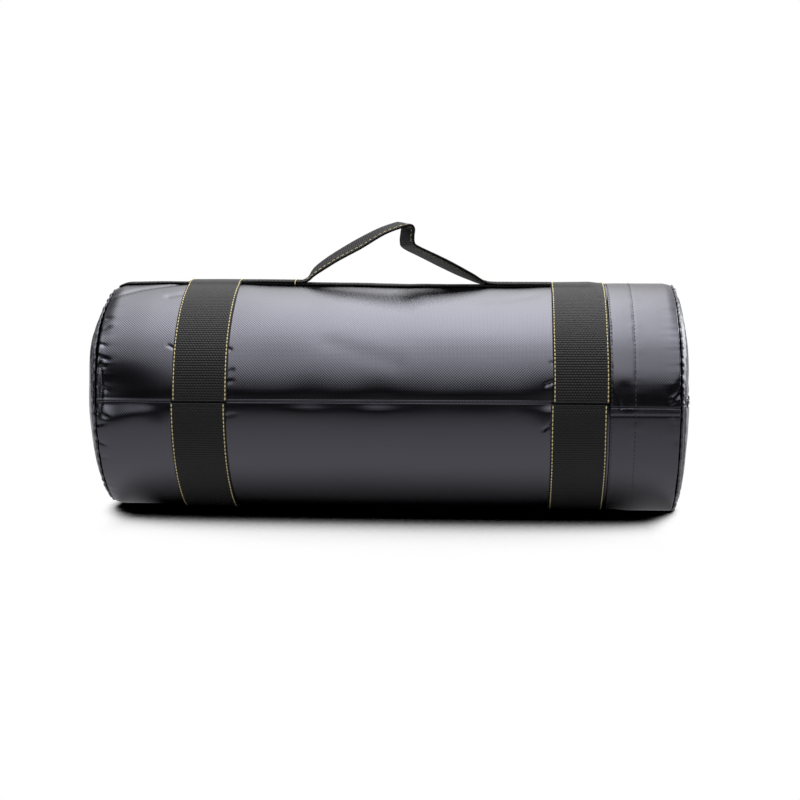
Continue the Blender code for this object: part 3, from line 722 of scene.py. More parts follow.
for name, up, bead, dive in PANELS:
    first, last = span(SEAM, up)
    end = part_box(f"{name}_panel")[1].x
    zone = EDGE_ZONE / RADIUS
    arcs = edged(first, last, PANEL_STEP / RADIUS, EDGE_STEP / RADIUS, zone, [NOTCH_ARC])
    start_zone = (CLOTH_START, CLOTH_START + EDGE_ZONE, EDGE_STEP * 2)
    columns = zoned(CLOTH_START, end, PANEL_STEP, [start_zone, *NOTCHES])

    def panel_place(x, angle):
        at_rim = turned_edge(x - CLOTH_START, 0.0, RIM_DIVE)
        lift = relief(x, angle) + turned_edge(seam_distance(angle), bead, dive) + at_rim
        return on_bag(x, angle, lift)

    shape = face_outwards(grid(columns, arcs, panel_place, flat_arc))
    flat = (RADIUS * (last - first), end - CLOTH_START)
    names = ("coated_fabric", f"{name}_panel")
    sheet(f"{name}_body_cloth", shape, body_cloth, *names, flat, rests_on=["foam_roll"])

# %% [markdown]
# Straps are flat tubes: a rounded ring, wide and thin, carried along a line. Merging doubles closes
# the tube, and two end faces cap it. The first one is the spine along the top, whose woven edge is
# a little rough.

# %% Helper that makes straps, and the spine webbing
RING_ARC = 4
spine_low, spine_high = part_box("spine_webbing")
STRAP_WIDTH = (spine_high.y - spine_low.y) * RADIUS / (RADIUS + CLOTH_GAP + WEBBING)
EDGE_ROUGHNESS = 0.0003


def webbing_ring(width, thickness, across_steps):
    """Points round a strap's section, as (across, height), with round edges."""
    edge = thickness / 2
    flat = width / 2 - edge
    top = [(a, thickness) for a in steps(-flat, flat, 2 * flat / across_steps)]
    bottom = [(a, 0.0) for a, _ in reversed(top)]

    def arc(centre, start):
        angles = [start - math.pi * i / RING_ARC for i in range(1, RING_ARC)]
        return [(centre + edge * math.cos(a), edge + edge * math.sin(a)) for a in angles]

    return top + arc(flat, math.pi / 2) + bottom + arc(-flat, -math.pi / 2)


def strap(ring, stations, place, run):
    """A closed tube through the stations. run gives the metres along the strap at a station."""
    shape = grid(
        ring + ring[:1],
        stations,
        lambda point, station: place(*point, station),
        lambda point, station: (point[0], run(station)),
    )
    merge(shape)
    bmesh.ops.holes_fill(shape, edges=[edge for edge in shape.edges if edge.is_boundary])
    return closed(shape)


def rough_edge(across, width, along):
    """A little unevenness that only the edge of a strap has."""
    near = smooth_step(abs(across), width / 2 - 0.0016, width / 2)
    return EDGE_ROUGHNESS * near * noise.noise(Vector((along / 0.0016, across * 40, 0)))


def spine_place(across, height, x):
    angle = across / RADIUS
    sag = relief(x, angle) * 0.8
    return on_bag(x, angle, CLOTH_GAP + height + sag + rough_edge(across, STRAP_WIDTH, x))


ring = webbing_ring(STRAP_WIDTH, SPINE_THICKNESS, 14)
shape = strap(ring, steps(spine_low.x, spine_high.x, 0.0016), spine_place, lambda x: x)
spine = finished("spine_strap", shape, strap_webbing, "webbing", "spine_webbing")
print(spine.name, "has", len(spine.data.polygons), "faces")

# %% [markdown]
# Each band goes round the bag in two lengths, sewn to the panels before these were joined, so its
# ends turn into the same seams and don't quite meet in line. On top it steps up over the spine.

# %% Bands
BAND_STEP = 0.0022
BAND_JOG = 0.0008
BAND_BEAD = 0.0003
BAND_DIVE = 0.0016
STEP_START = STRAP_WIDTH / 2 + 0.0008
STEP_END = STRAP_WIDTH / 2 + 0.0085
# The two halves of a band or of the cuff: name here, name in the CAD, and which way it lies
HALVES = [("over", "upper", 1), ("under", "lower", -1)]


def over_spine(x, angle):
    """How far a band is raised by the spine under it, which ends under the right band."""
    on_top = 1 - smooth_step(RADIUS * abs(wrap(angle)), STEP_START, STEP_END)
    ended = smooth_step(x, spine_high.x - 0.002, spine_high.x + 0.012)
    return (SPINE_THICKNESS + CLOTH_GAP) * on_top * (1 - ended)


def on_band(centre, across, height, angle):
    """A place on a band, given across it and by its angle round the bag."""
    x = centre + across
    bow = 0.0004 * noise.noise(Vector((centre * 9, RADIUS * wrap(angle) / 0.05, 3.0)))
    ends = turned_edge(seam_distance(angle), BAND_BEAD, BAND_DIVE) - seam_pull(centre, angle) * 0.6
    lift = CLOTH_GAP + height + swell(x, angle) + over_spine(x, angle) + ends * off_floor(angle)
    return on_bag(x, angle, lift) + Vector((bow, 0, 0))


for side, middle in BANDS.items():
    for half, cad_half, up in HALVES:
        first, last = span(SEAM, up)
        arcs = edged(RADIUS * first, RADIUS * last, BAND_STEP, EDGE_STEP, EDGE_ZONE)

        def band_place(across, height, arc):
            rough = rough_edge(across, BAND_WIDTH, arc)
            return on_band(middle + up * BAND_JOG, across + rough, height, arc / RADIUS)

        shape = strap(webbing_ring(BAND_WIDTH, WEBBING, 16), arcs, band_place, lambda arc: arc)
        names = (f"{side}_band_{half}", f"{side}_band_{cad_half}")
        finished(names[0], shape, wide_webbing, "webbing", names[1])
    print(side, "band is centred at", round(middle, 4))

# %% [markdown]
# A smooth cuff is laid over the right end and held by two rows of stitches, each in a shallow
# groove. Its own joint is lapped: the lower half's edge is folded and lies as a raised strip just
# under the line.

# %% Cuff
CUFF_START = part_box("cuff_upper")[0].x
CUFF_SEAM = math.radians(91.2)
CUFF_ROWS = (CUFF_START + 0.0019, CUFF_START + 0.0226)
GROOVE = 0.00045
GROOVE_WIDTH = 0.0009
LAP_STRIP = 0.0062
LAP_RISE = 0.00025
LAP_TUCK = 0.0003
TUCK_WIDTH = 0.0008
CUFF_DIVE = 0.0012
CUFF_DIVE_WIDTH = 0.0006
CUFF_CREASES = [
    (0.264, 78, 0.256, 84.5, 0.0026, 0.0006), (0.263, 84, 0.2545, 89, 0.002, 0.0005),
    (0.256, 96.5, 0.26, 108, 0.0022, 0.0005), (0.207, 84, 0.211, 91, 0.0014, 0.0009),
    (0.214, 82, 0.218, 90, 0.005, 0.0005),
]


def cuff_relief(x, angle):
    """The cuff's lift: the swell below it, its stitch grooves and gathers."""
    grooves = sum(bell(x, row, GROOVE_WIDTH) for row in CUFF_ROWS)
    ripple = 0.6 + 0.6 * noise.noise(Vector((RADIUS * angle / 0.004, x / 0.01, 7.0)))
    pucker = 0.00025 * noise.noise(Vector((RADIUS * angle / 0.006, x / 0.02, 9.0)))
    lift = swell(x, angle) + rim_gathers(x, angle) - GROOVE * grooves * ripple
    return lift + pucker * bell(x, CUFF_ROWS[1], 0.006)


for half, cad_half, up in HALVES:
    first, last = span(CUFF_SEAM, up)
    lapped = float(up < 0)
    arcs = edged(first, last, 0.0022 / RADIUS, EDGE_STEP / RADIUS, 0.0080 / RADIUS, [NOTCH_ARC])

    def cuff_place(x, angle):
        edge = RADIUS * min(angle - first, last - angle)
        fold = LAP_RISE * (1 - smooth_step(edge, LAP_STRIP - 0.0020, LAP_STRIP)) * lapped
        tuck = -LAP_TUCK * bell(edge, LAP_STRIP + TUCK_WIDTH / 2, TUCK_WIDTH) * lapped
        dive = (lapped - 1.0) * 0.0010 * bell(edge, 0, CUFF_DIVE_WIDTH)
        start = -CUFF_DIVE * bell(x, CUFF_START, CUFF_DIVE_WIDTH)
        end = turned_edge(CLOTH_END - x, 0.0, RIM_DIVE)
        shape = (cuff_relief(x, angle) + fold + tuck) * off_floor(angle) + dive + start + end
        return on_bag(x, angle, CUFF_LIFT + shape - crease_depth(x, angle, CUFF_CREASES))

    columns = edged(CUFF_START, CLOTH_END, 0.0012, EDGE_STEP, 0.0040)
    shape = face_outwards(grid(columns, arcs, cuff_place, flat_arc))
    flat = (RADIUS * (last - first), CLOTH_END - CUFF_START)
    names = ("smooth_coated_fabric", f"cuff_{cad_half}")
    below = ["upper_body_cloth", "lower_body_cloth"]
    sheet(f"cuff_{half}", shape, cuff_cloth, *names, flat, rests_on=below)

# %% [markdown]
# An end disc is wider than the opening it closes. Its cloth turns over the rim and is gathered into
# a seam on the side, which leaves a narrow puckered strip. The strip's section is a list of places
# joined by a smooth curve, and the dome follows from the radius of its bulge.

# %% End discs
# Out from the rim's seam and in from the shell's radius, up to where the dome starts
RIM_SECTION = [
    (0.0, 0.0026), (0.0004, 0.0012), (0.001, 0.0004), (0.0018, 0.0003), (0.0026, 0.001),
    (0.0031, 0.0022), (0.003, 0.0034), (0.0027, 0.0044), (0.0036, 0.0056), (0.006, 0.008),
]
RIM_PUCKER = 0.0017
RIM_PUCKER_SIZE = 0.0036
DOME_PUCKER = 0.0013
DOME_PUCKER_REACH = 0.018
DOME_POWER = 3.0
DOME_STEP = 0.0042
DOME_SAG = 0.0016
DOME_SAG_SIZE = 0.045
FOLD_SIZE = 0.011
FULLNESS = 0.84
ZIP_FLAT = (0.010, 0.032)
LEFT_FULL = 0.0018
LEFT_FULL_HEIGHT = 0.060
ANGLE_STEPS = 460
PLUG_INSET = 0.0026
PLUG_EDGE = 0.0075
left_dome_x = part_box("left_end_disc")[0].x
right_dome_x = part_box("right_end_disc_upper")[1].x


def smooth_line(points, between):
    """A Catmull-Rom curve through points, with this many steps between each two."""
    last = len(points) - 1
    line = []
    for i in range(last):
        around = [points[max(i - 1, 0)], points[i], points[i + 1], points[min(i + 2, last)]]
        for s in [step / between for step in range(between)]:
            line.append([
                b + (c - a) * s / 2 + (2 * a - 5 * b + 4 * c - d) * s**2 / 2
                + (3 * b - a - 3 * c + d) * s**3 / 2
                for a, b, c, d in zip(*around)
            ])
    return line + [list(points[last])]


def disc(side, rim, dome_x, lift):
    """A disc's cloth. side is -1 at the left end and 1 at the right."""
    radius = RADIUS + lift
    bulge = abs(dome_x - rim)
    curve = (radius**2 + bulge**2) / (2 * bulge)
    rows = [(out - RIM_STRIP, radius - inward) for out, inward in smooth_line(RIM_SECTION, 3)]
    start_out, start = rows[-1]
    rows += [(None, reach) for reach in steps(start, 0.0, DOME_STEP)[1:]]

    def dome(reach, height):
        """A cushion-like bulge that becomes round at the zip."""
        round_out = math.sqrt(curve**2 - reach**2) - (curve - bulge)
        round_start = math.sqrt(curve**2 - start**2) - (curve - bulge)
        share = 1 - (reach / start) ** DOME_POWER
        cushion = start_out + (bulge * FULLNESS - start_out) * share
        rounded = round_out + (start_out - round_start) * (reach / start) ** 6
        flat = smooth_step(abs(height), *ZIP_FLAT) if side > 0 else 1.0
        return rounded + (cushion - rounded) * flat

    def place(angle, row):
        out, reach = row
        height = reach * math.cos(angle)
        if out is None:
            out = dome(reach, height)
        if side < 0:
            out += LEFT_FULL * bell(height, LEFT_FULL_HEIGHT, 0.035) * smooth_step(reach, 0.03, 0.09)
        spot = Vector((radius * math.sin(angle), radius * math.cos(angle), side * 5.0))
        edge = smooth_step(reach, radius - 0.006, radius - 0.002)
        fine = noise.noise(spot / RIM_PUCKER_SIZE) * RIM_PUCKER * edge
        inward = max(radius - 0.004 - reach, 0)
        folds = noise.noise(Vector((spot.x, spot.y, side + reach * 12)) / FOLD_SIZE)
        folds = abs(folds) * DOME_PUCKER * bell(inward, 0, DOME_PUCKER_REACH)
        folds *= smooth_step(inward, 0, 0.004)
        broad = Vector((spot.x, spot.y, 0)) * (reach / radius / DOME_SAG_SIZE)
        broad += Vector((0, 0, side * 5.0))
        sag = DOME_SAG * noise.noise(broad) * smooth_step(inward, 0, 0.03)
        x = rim + side * (out + fine * 0.5 - folds + sag)
        return on_bag(x, angle, share=(reach + fine) / RADIUS)

    def flat(angle, row):
        return -row[1] * math.sin(angle), row[1] * math.cos(angle)

    shape = grid(steps(0, math.tau, math.tau / ANGLE_STEPS), rows, place, flat)
    merge(shape)
    return face_outwards(shape)


# The foam plug behind the left disc: its closed section, as (out, reach), then the piece
plug_back = LEFT_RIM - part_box("foam_pad_left")[1].x
plug_edge = RADIUS - PLUG_EDGE
plug_bulge = abs(left_dome_x - LEFT_RIM) * FULLNESS - PLUG_INSET
plug_rows = [(plug_back, reach) for reach in (0.0, 0.05, plug_edge - 0.002, plug_edge)]
for reach in steps(plug_edge, 0.0, 0.006):
    plug_rows.append((plug_bulge * (1 - min(reach / plug_edge, 1) ** DOME_POWER), reach))
shape = grid(
    steps(0, math.tau, math.tau / 90),
    plug_rows,
    lambda angle, row: on_bag(LEFT_RIM - row[0], angle, share=row[1] / RADIUS),
    lambda angle, row: (angle * 0.05, row[1]),
)
plug = finished("foam_plug_left", closed(shape), INNER_FINISHES["foam"], "foam", "foam_pad_left")

flat, area = (2 * RADIUS, 2 * RADIUS), math.pi * RADIUS**2
shape = disc(-1, LEFT_RIM, left_dome_x, 0.0)
sheet("left_end_cloth", shape, body_cloth, "coated_fabric", "left_end_disc", flat, area=area)

# %% [markdown]
# The right disc is made whole and then cut with `bisect_plane`, so that its halves match on both
# sides of the zip. Their cut edges are turned in a little.

# %% Right end, in two halves
ZIP_SLOT = 0.005
HEM = 0.0008
SLOT_ENDS = (0.0865, 0.0935)

for name, up in (("upper", 1), ("lower", -1)):
    shape = disc(1, RIGHT_RIM, right_dome_x, CUFF_LIFT)
    everything = shape.verts[:] + shape.edges[:] + shape.faces[:]
    cut, away = (0, 0, AXIS_HEIGHT + up * ZIP_SLOT), (0, 0, -up)
    bmesh.ops.bisect_plane(shape, geom=everything, plane_co=cut, plane_no=away, clear_outer=True)
    for corner in shape.verts:
        height = abs(corner.co.z - AXIS_HEIGHT)
        shut = smooth_step(abs(corner.co.y), *SLOT_ENDS)
        if corner.co.x > RIGHT_RIM - 0.001:
            near = 1 - smooth_step(height, ZIP_SLOT, ZIP_SLOT + 0.003)
            corner.co.x -= HEM * near * (1 - shut)
        near = 1 - smooth_step(height, ZIP_SLOT, 4 * ZIP_SLOT)
        corner.co.z -= up * (ZIP_SLOT - CLOTH_GAP / 2) * near * shut
    flat = (2 * RADIUS, RADIUS)
    names = ("smooth_coated_fabric", f"right_end_disc_{name}")
    sheet(f"right_end_cloth_{name}", shape, cuff_cloth, *names, flat, area=area / 2)

# %% [markdown]
# The handle is one strap. Its ends are sewn down flat; its loop stands up by its own stiffness, is
# creased at the top, drops, and turns its inner face to the front. Each place along it is given by
# its two edges, as shares of its span and its rise. It is one piece here, and rides on no body.

# %% Handle
HANDLE_START = -0.0857 + (LEFT_RIM + RIGHT_RIM) / 2
HANDLE_SPAN = 0.1851
HANDLE_RISE = 0.0541
HANDLE_SHARES = [
    (0, 0, 0, 0), (0.042, 0.026, 0.023, 0.098), (0.079, 0.116, 0.058, 0.244), (0.177, 0.311, 0.15, 0.458),
    (0.301, 0.527, 0.269, 0.699), (0.425, 0.78, 0.377, 0.884), (0.517, 0.902, 0.452, 0.976),
    (0.563, 0.939, 0.485, 1), (0.579, 0.874, 0.502, 0.948), (0.576, 0.754, 0.498, 0.81),
    (0.578, 0.643, 0.495, 0.671), (0.595, 0.577, 0.512, 0.556), (0.679, 0.44, 0.625, 0.37),
    (0.787, 0.277, 0.744, 0.198), (0.884, 0.122, 0.847, 0.063), (0.949, 0.022, 0.928, 0.004), (1, 0, 1, 0),
]
SPINE_TOP = RADIUS + CLOTH_GAP + SPINE_THICKNESS
HANDLE_FLOOR = AXIS_HEIGHT + SPINE_TOP + CLOTH_GAP + WEBBING / 2
LEFT_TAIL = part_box("handle_tail_left")[0].x
RIGHT_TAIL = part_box("handle_tail_right")[1].x + 0.002
TAIL_STEP = 0.002


def loop_edges(near_along, near_up, far_along, far_up):
    """The near and the far edge at one place, a strap's width apart."""
    run = (far_along - near_along) * HANDLE_SPAN
    rise = (far_up - near_up) * HANDLE_RISE
    half = math.sqrt(STRAP_WIDTH**2 - run**2 - rise**2) / 2
    near = Vector((near_along * HANDLE_SPAN, -half, near_up * HANDLE_RISE))
    far = Vector((far_along * HANDLE_SPAN, half, far_up * HANDLE_RISE))
    origin = Vector((HANDLE_START, 0, HANDLE_FLOOR))
    return origin + near, origin + far


def flat_edges(x):
    half = Vector((0, STRAP_WIDTH / 2, 0))
    middle = Vector((x, 0, HANDLE_FLOOR))
    return middle - half, middle + half


edges = [flat_edges(x) for x in steps(LEFT_TAIL, HANDLE_START, TAIL_STEP)[:-1]]
edges += [loop_edges(*shares) for shares in smooth_line(HANDLE_SHARES, 5)]
edges += [flat_edges(x) for x in steps(HANDLE_START + HANDLE_SPAN, RIGHT_TAIL, TAIL_STEP)[1:]]
middles = [(near + far) / 2 for near, far in edges]
# All along the strap: (middle, sideways, outwards, metres along, flatness)
HANDLE_FRAMES = []
run = 0.0
for i, (near, far) in enumerate(edges):
    ahead = middles[min(i + 1, len(edges) - 1)] - middles[max(i - 1, 0)]
    across = (far - near).normalized()
    run += (middles[i] - middles[i - 1]).length if i else 0.0
    lying = 1 - smooth_step(middles[i].z - HANDLE_FLOOR, 0.0005, 0.006)
    HANDLE_FRAMES.append((middles[i], across, ahead.cross(across).normalized(), run, lying))


def on_handle(across, height, station):
    """A place on the handle: across it, off its middle layer, at a station."""
    middle, side, out, run, lying = station
    droop = lying * across**2 / (2 * SPINE_TOP)
    rough = rough_edge(across, STRAP_WIDTH, run)
    return middle + side * (across + rough) + out * height - Vector((0, 0, droop))


ring = [(a, h - WEBBING / 2) for a, h in webbing_ring(STRAP_WIDTH, WEBBING, 14)]
shape = strap(ring, HANDLE_FRAMES, on_handle, lambda station: station[3])
nodes = ("handle_strap", "handle_tail_left", "handle_tail_right")
handle = finished("handle_webbing", shape, strap_webbing, "webbing", *nodes, body=None)
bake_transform(handle)
print("handle strap is", round(run, 4), "m long")

# %% [markdown]
# A stitch is a short fat bead of thread that sinks in at both ends. One bead is made by
# `create_uvsphere`, and each stitch is a copy of it, stretched and turned, because an operator call
# for each would be slow. Rows follow a function that gives a place on the cloth.

# %% Helper that sews
STITCH_PITCH = 0.0037
STITCH_LENGTH = 0.0033
THREAD_WIDTH = 0.00105
THREAD_HEIGHT = 0.0009

pattern = bmesh.new()
bmesh.ops.create_uvsphere(pattern, u_segments=6, v_segments=4, radius=1)
bead = bpy.data.meshes.new("stitch_pattern")
pattern.to_mesh(bead)
pattern.free()


def from_lowest(ring):
    """The same ring of corners, started at its lowest number."""
    start = ring.index(min(ring))
    return ring[start:] + ring[:start]


# The operator gives its faces in no fixed order, so they are sorted to be the same in each run
bead_faces = sorted(from_lowest(list(face.vertices)) for face in bead.polygons)


def add_stitch(shape, start, end, up, width=THREAD_WIDTH, height=THREAD_HEIGHT):
    """One stitch between two points, with its flat side on the cloth."""
    ahead = end - start
    across = ahead.cross(up).normalized()
    up = across.cross(ahead).normalized()
    turn = Matrix((ahead.normalized(), across, up)).transposed().to_4x4()
    size = Matrix.Diagonal((ahead.length / 2, width / 2, height / 2, 1))
    place = Matrix.Translation((start + end) / 2) @ turn @ size
    corners = [shape.verts.new(place @ corner.co) for corner in bead.vertices]
    for face in bead_faces:
        shape.faces.new([corners[i] for i in face])


def sewn_row(shape, spot, start, end, pitch=STITCH_PITCH, length=STITCH_LENGTH):
    """A row of stitches. spot(run) gives a place on the cloth and the direction off it."""
    count = max(int(abs(end - start) / pitch), 1)
    step = (end - start) / count
    half = step * length / pitch / 2
    for i in range(count):
        middle = start + step * (i + 0.5)
        first, up = spot(middle - half)
        add_stitch(shape, first, spot(middle + half)[0], up)


def sewn(name, shape, thread, body="bag"):
    """Finishes the rows in a bmesh as one piece."""
    piece = finished(name, shape, thread, body=body)
    print(name, "has", len(piece.data.polygons), "faces")
    return piece


print("a stitch is", STITCH_LENGTH, "m long")

# %% [markdown]
# Yellow thread runs down both edges of every band and stops just short of the seams. The spine is
# sewn down in black.

# %% Stitching on the bands and the spine
BAND_INSET = 0.0016
SPINE_INSET = 0.0022
SEAM_STOP = 0.0012

for side, middle in BANDS.items():
    for half, _, up in HALVES:
        first, last = span(SEAM, up, 0)
        sewing = bmesh.new()
        for edge in (-1, 1):

            def spot(arc):
                across = (middle + up * BAND_JOG, edge * (BAND_WIDTH / 2 - BAND_INSET))
                low = on_band(*across, WEBBING, arc / RADIUS)
                return low, on_band(*across, 2 * WEBBING, arc / RADIUS) - low

            sewn_row(sewing, spot, RADIUS * first + SEAM_STOP, RADIUS * last - SEAM_STOP)
        sewn(f"{side}_band_{half}_stitches", sewing, yellow_thread)

sewing = bmesh.new()
for edge in (-1, 1):

    def spot(x):
        across = edge * (STRAP_WIDTH / 2 - SPINE_INSET)
        low = spine_place(across, SPINE_THICKNESS, x)
        return low, spine_place(across, 2 * WEBBING, x) - low

    for start, end in (
        (spine_low.x + 0.004, BANDS["left"] - BAND_WIDTH / 2),
        (BANDS["left"] + BAND_WIDTH / 2, HANDLE_START + 0.004),
        (HANDLE_START + 0.004, HANDLE_START + HANDLE_SPAN - 0.006),
    ):
        sewn_row(sewing, spot, start, end)
sewn("spine_stitches", sewing, black_thread)

# %% [markdown]
# The handle has a row of stitches near each edge. Lock stitch shows on both faces, so each row is
# laid twice. Where the left end is sewn to the spine, a dense bar of zigzag thread crosses it.

# %% Stitching on the handle
HANDLE_INSET = 0.0055
HANDLE_SUNK = 0.0004
# Pitch and length of the stitches, where they aren't the usual ones
LOOP_SEWING = (0.0048, 0.0041)
TAIL_SEWING = (0.0036, 0.0030)
BAR_PLACE = -0.0888
BAR_WIDTH = 0.0008
BAR_COUNT = 34
BAR_THREAD = 0.0006


def handle_spot(face, edge):
    """Where a stitch row runs, on the outer or inner face and near the front or back edge."""
    place = (edge * (STRAP_WIDTH / 2 - HANDLE_INSET), face * WEBBING / 2)

    def spot(run):
        i = sum(row[3] < run for row in HANDLE_FRAMES[1:-1])
        before, after = HANDLE_FRAMES[i], HANDLE_FRAMES[i + 1]
        share = min(max((run - before[3]) / (after[3] - before[3]), 0), 1)
        low = on_handle(*place, before).lerp(on_handle(*place, after), share)
        out = before[2].lerp(after[2], share) * face
        return low - out * HANDLE_SUNK * (edge > 0), out

    return spot


free = [row[3] for row in HANDLE_FRAMES if row[4] < 0.9]
sewing = bmesh.new()
for face, edge in ((-1, -1), (-1, 1), (1, -1), (1, 1)):
    sewn_row(sewing, handle_spot(face, edge), free[0], free[-1], *LOOP_SEWING)
handle_stitches = sewn("handle_stitches", sewing, yellow_thread, body=None)
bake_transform(handle_stitches)

sewing = bmesh.new()
for edge in (-1, 1):
    for start, end in ((0.003, free[0] - 0.002), (free[-1] + 0.002, run - 0.003)):
        sewn_row(sewing, handle_spot(1, edge), start, end, *TAIL_SEWING)
sewn("tail_stitches", sewing, black_thread)

half_width = STRAP_WIDTH / 2 + 0.0002


def bar_point(share, side):
    """A corner of the zigzag, on the strap's curved top."""
    y = -half_width + 2 * half_width * share
    z = HANDLE_FLOOR + WEBBING / 2 - y**2 / (2 * SPINE_TOP)
    return Vector((BAR_PLACE + side * BAR_WIDTH / 2, y, z))


sewing = bmesh.new()
for i in range(BAR_COUNT):
    side = 1 if i % 2 else -1
    start, end = bar_point(i / BAR_COUNT, side), bar_point((i + 1) / BAR_COUNT, -side)
    add_stitch(sewing, start, end, Vector((0, 0, 1)), width=BAR_THREAD)
for edge in (-1, 1):
    for across in (-0.5, 0.5):
        top = bar_point(edge > 0, across)
        foot = top - Vector((0, 0, WEBBING + SPINE_THICKNESS + 0.0006))
        add_stitch(sewing, top, foot, Vector((0, edge, 0)), width=BAR_THREAD)
sewn("bar_tack", sewing, yellow_thread)

# %% [markdown]
# The cuff's two rows and its lapped joint are sewn in black. They show only as small dark dashes.

# %% Black stitching on the cuff
CUFF_SEWING = (0.0042, 0.003)


def on_cuff(x, angle, sunk=0.0):
    """A stitch's place on the cuff, and the direction off it."""
    low = on_bag(x, angle, CUFF_LIFT + cuff_relief(x, angle) - sunk)
    return low, on_bag(0, angle, CUFF_LIFT + 0.01) - on_bag(0, angle, CUFF_LIFT)


sewing = bmesh.new()
for x in CUFF_ROWS:
    for up, stop in ((1, 0.001), (-1, LAP_STRIP + 0.001)):
        first, last = span(CUFF_SEAM, up, 0)
        ends = (RADIUS * first + stop, RADIUS * last - stop)
        sewn_row(sewing, lambda arc: on_cuff(x, arc / RADIUS), *ends, *CUFF_SEWING)
for side in (-1, 1):
    angle = side * (CUFF_SEAM + (LAP_STRIP + 0.0006) / RADIUS)
    ends = (CUFF_ROWS[0], CLOTH_END - 0.002)
    sewn_row(sewing, lambda x: on_cuff(x, angle, LAP_TUCK), *ends, *CUFF_SEWING)
sewn("cuff_stitches", sewing, black_thread)

# %% [markdown]
# The zip crosses the right end between the halves. Its tape is a curved strip of fine weave, and
# each of its teeth is a bead of moulded plastic. The slider, the puller and the stops keep their
# CAD shapes, with rounded edges.

# %% Zip
ZIP_BULGE = right_dome_x - RIGHT_RIM
rim_reach = RADIUS + CUFF_LIFT
DOME_CURVE = (rim_reach**2 + ZIP_BULGE**2) / (2 * ZIP_BULGE)
ZIP_CENTRE = Vector((right_dome_x - DOME_CURVE, 0, AXIS_HEIGHT))
coil_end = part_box("zip_coil_upper")[1]
COIL_OUT = coil_end.x - ZIP_CENTRE.x
COIL_THICKNESS = 0.0016
TOOTH_PITCH = 0.0015
TAPE_WIDTH = 0.0132
TAPE_DEPTH = 0.0021
half_arc = math.asin(coil_end.y / COIL_OUT)
rim_turn = math.asin((rim_reach - 0.008) / DOME_CURVE)


def zip_place(turn, height, depth=-TAPE_DEPTH):
    """A place on the zip: its angle about the dome's middle, its height, and its depth."""
    reach = math.sqrt(max((DOME_CURVE + depth) ** 2 - height**2, 0))
    return ZIP_CENTRE + Vector((reach * math.cos(turn), reach * math.sin(turn), height))


def zip_flat(turn, height):
    return height, turn * DOME_CURVE


def rounded_copy(node_name, name, body, radius):
    """A copy of a CAD node with its triangles merged into faces and its edges rounded."""
    shape = bmesh.new()
    shape.from_mesh(frame["nodes"][node_name].data)
    merge(shape)
    limit = math.radians(2)
    bmesh.ops.dissolve_limit(shape, angle_limit=limit, verts=shape.verts, edges=shape.edges)
    piece = finished(name, shape, zip_metal, "zip_steel", node_name, body=body)
    edges = piece.modifiers.new("rounded edges", "BEVEL")
    edges.width = radius
    edges.segments = 2
    edges.limit_method = "ANGLE"
    edges.angle_limit = math.radians(35)


for name, up in (("upper", 1), ("lower", -1)):
    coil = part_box(f"zip_coil_{name}")
    slit, outer = abs(coil[up < 0].z - AXIS_HEIGHT), abs(coil[up > 0].z - AXIS_HEIGHT)
    middle = COIL_OUT - DOME_CURVE - COIL_THICKNESS / 2
    teeth = bmesh.new()
    count = int(2 * half_arc * COIL_OUT / TOOTH_PITCH)
    for i in range(count):
        turn = half_arc * (2 * (i + 0.5) / count - 1)
        near, far = zip_place(turn, up * slit, middle), zip_place(turn, up * outer, middle)
        outward = Vector((math.cos(turn), math.sin(turn), 0))
        add_stitch(teeth, near, far, outward, TOOTH_PITCH * 0.8, COIL_THICKNESS)
    finished(f"zip_teeth_{name}", teeth, zip_plastic, "zip_plastic", f"zip_coil_{name}")
    rows = steps(up * slit, up * TAPE_WIDTH, 0.0012)
    columns = [a / DOME_CURVE for a in steps(-rim_turn * DOME_CURVE, rim_turn * DOME_CURVE, 0.003)]
    shape = face_outwards(grid(columns, rows, zip_place, zip_flat))
    flat = (abs(TAPE_WIDTH - slit), 2 * rim_turn * DOME_CURVE)
    names = ("woven_tape", f"zip_tape_{name}")
    sheet(f"zip_tape_cloth_{name}", shape, tape, *names, flat, thickness=0.0006)
    print(count, "teeth on the", name, "side")

rounded_copy("zip_slider", "zip_slider_body", "slider", 0.00025)
rounded_copy("zip_puller", "zip_puller_tab", "puller", 0.0003)
for end in ("rear", "front"):
    rounded_copy(f"zip_stop_{end}", f"zip_end_stop_{end}", "bag", 0.0002)
print("slider, puller and stops rounded")

# %% [markdown]
# The studio is a white table under one wide soft light, in a dark room. That is what the glossy
# cloth shows: a pale band on top, the dark room below it, and the table further down. The table
# takes no light but glows: the camera sees it pure white, with a painted shadow under the bag
# from an ambient occlusion node, and the cloth sees a dimmer painted glow with its own shadow.

# %% Floor
FLOOR_FRONT = -1.3
FLOOR_BACK = 2.2
FLOOR_SIDE = 1.6
FLOOR_GLOW = 0.64
GLOW_FADE = (-0.76, -0.10)
SHADOW_REACH = 0.4
# Each zone of the painted shadow: direction along the bag, where it starts and is complete, and its share
# of open sky, which lightens the painted shadow there (a negative share darkens it)
SEEN_SHADOW_ZONES = [(-1, 0.225, 0.300, 0.5), (1, 0.229, 0.292, 0.46), (1, -0.25, 0.10, -0.035)]
MIRRORED_SHADOW_ZONES = [(-1, 0.19, 0.25, 0.33), (1, 0.17, 0.25, 0.33)]
SEEN_SHADOW = (0.46, 0.82)
MIRRORED_SHADOW = (0.10, 0.57)

shape = bmesh.new()
bmesh.ops.create_grid(shape, x_segments=1, y_segments=1, size=1)
for corner in shape.verts:
    corner.co.x *= FLOOR_SIDE
    corner.co.y = FLOOR_FRONT if corner.co.y < 0 else FLOOR_BACK
# The table glows instead of taking light, and carries a painted shadow under the bag.
material, tree, _ = new_material("glowing_table_painted_shadow")
floor = linked("table_top", shape, material)
material.cycles.emission_sampling = "NONE"
tree.nodes.clear()
open_sky = node(tree, "ShaderNodeAmbientOcclusion", {"Distance": SHADOW_REACH}, samples=16)["AO"]
along, depth, _ = split(position_in(tree))


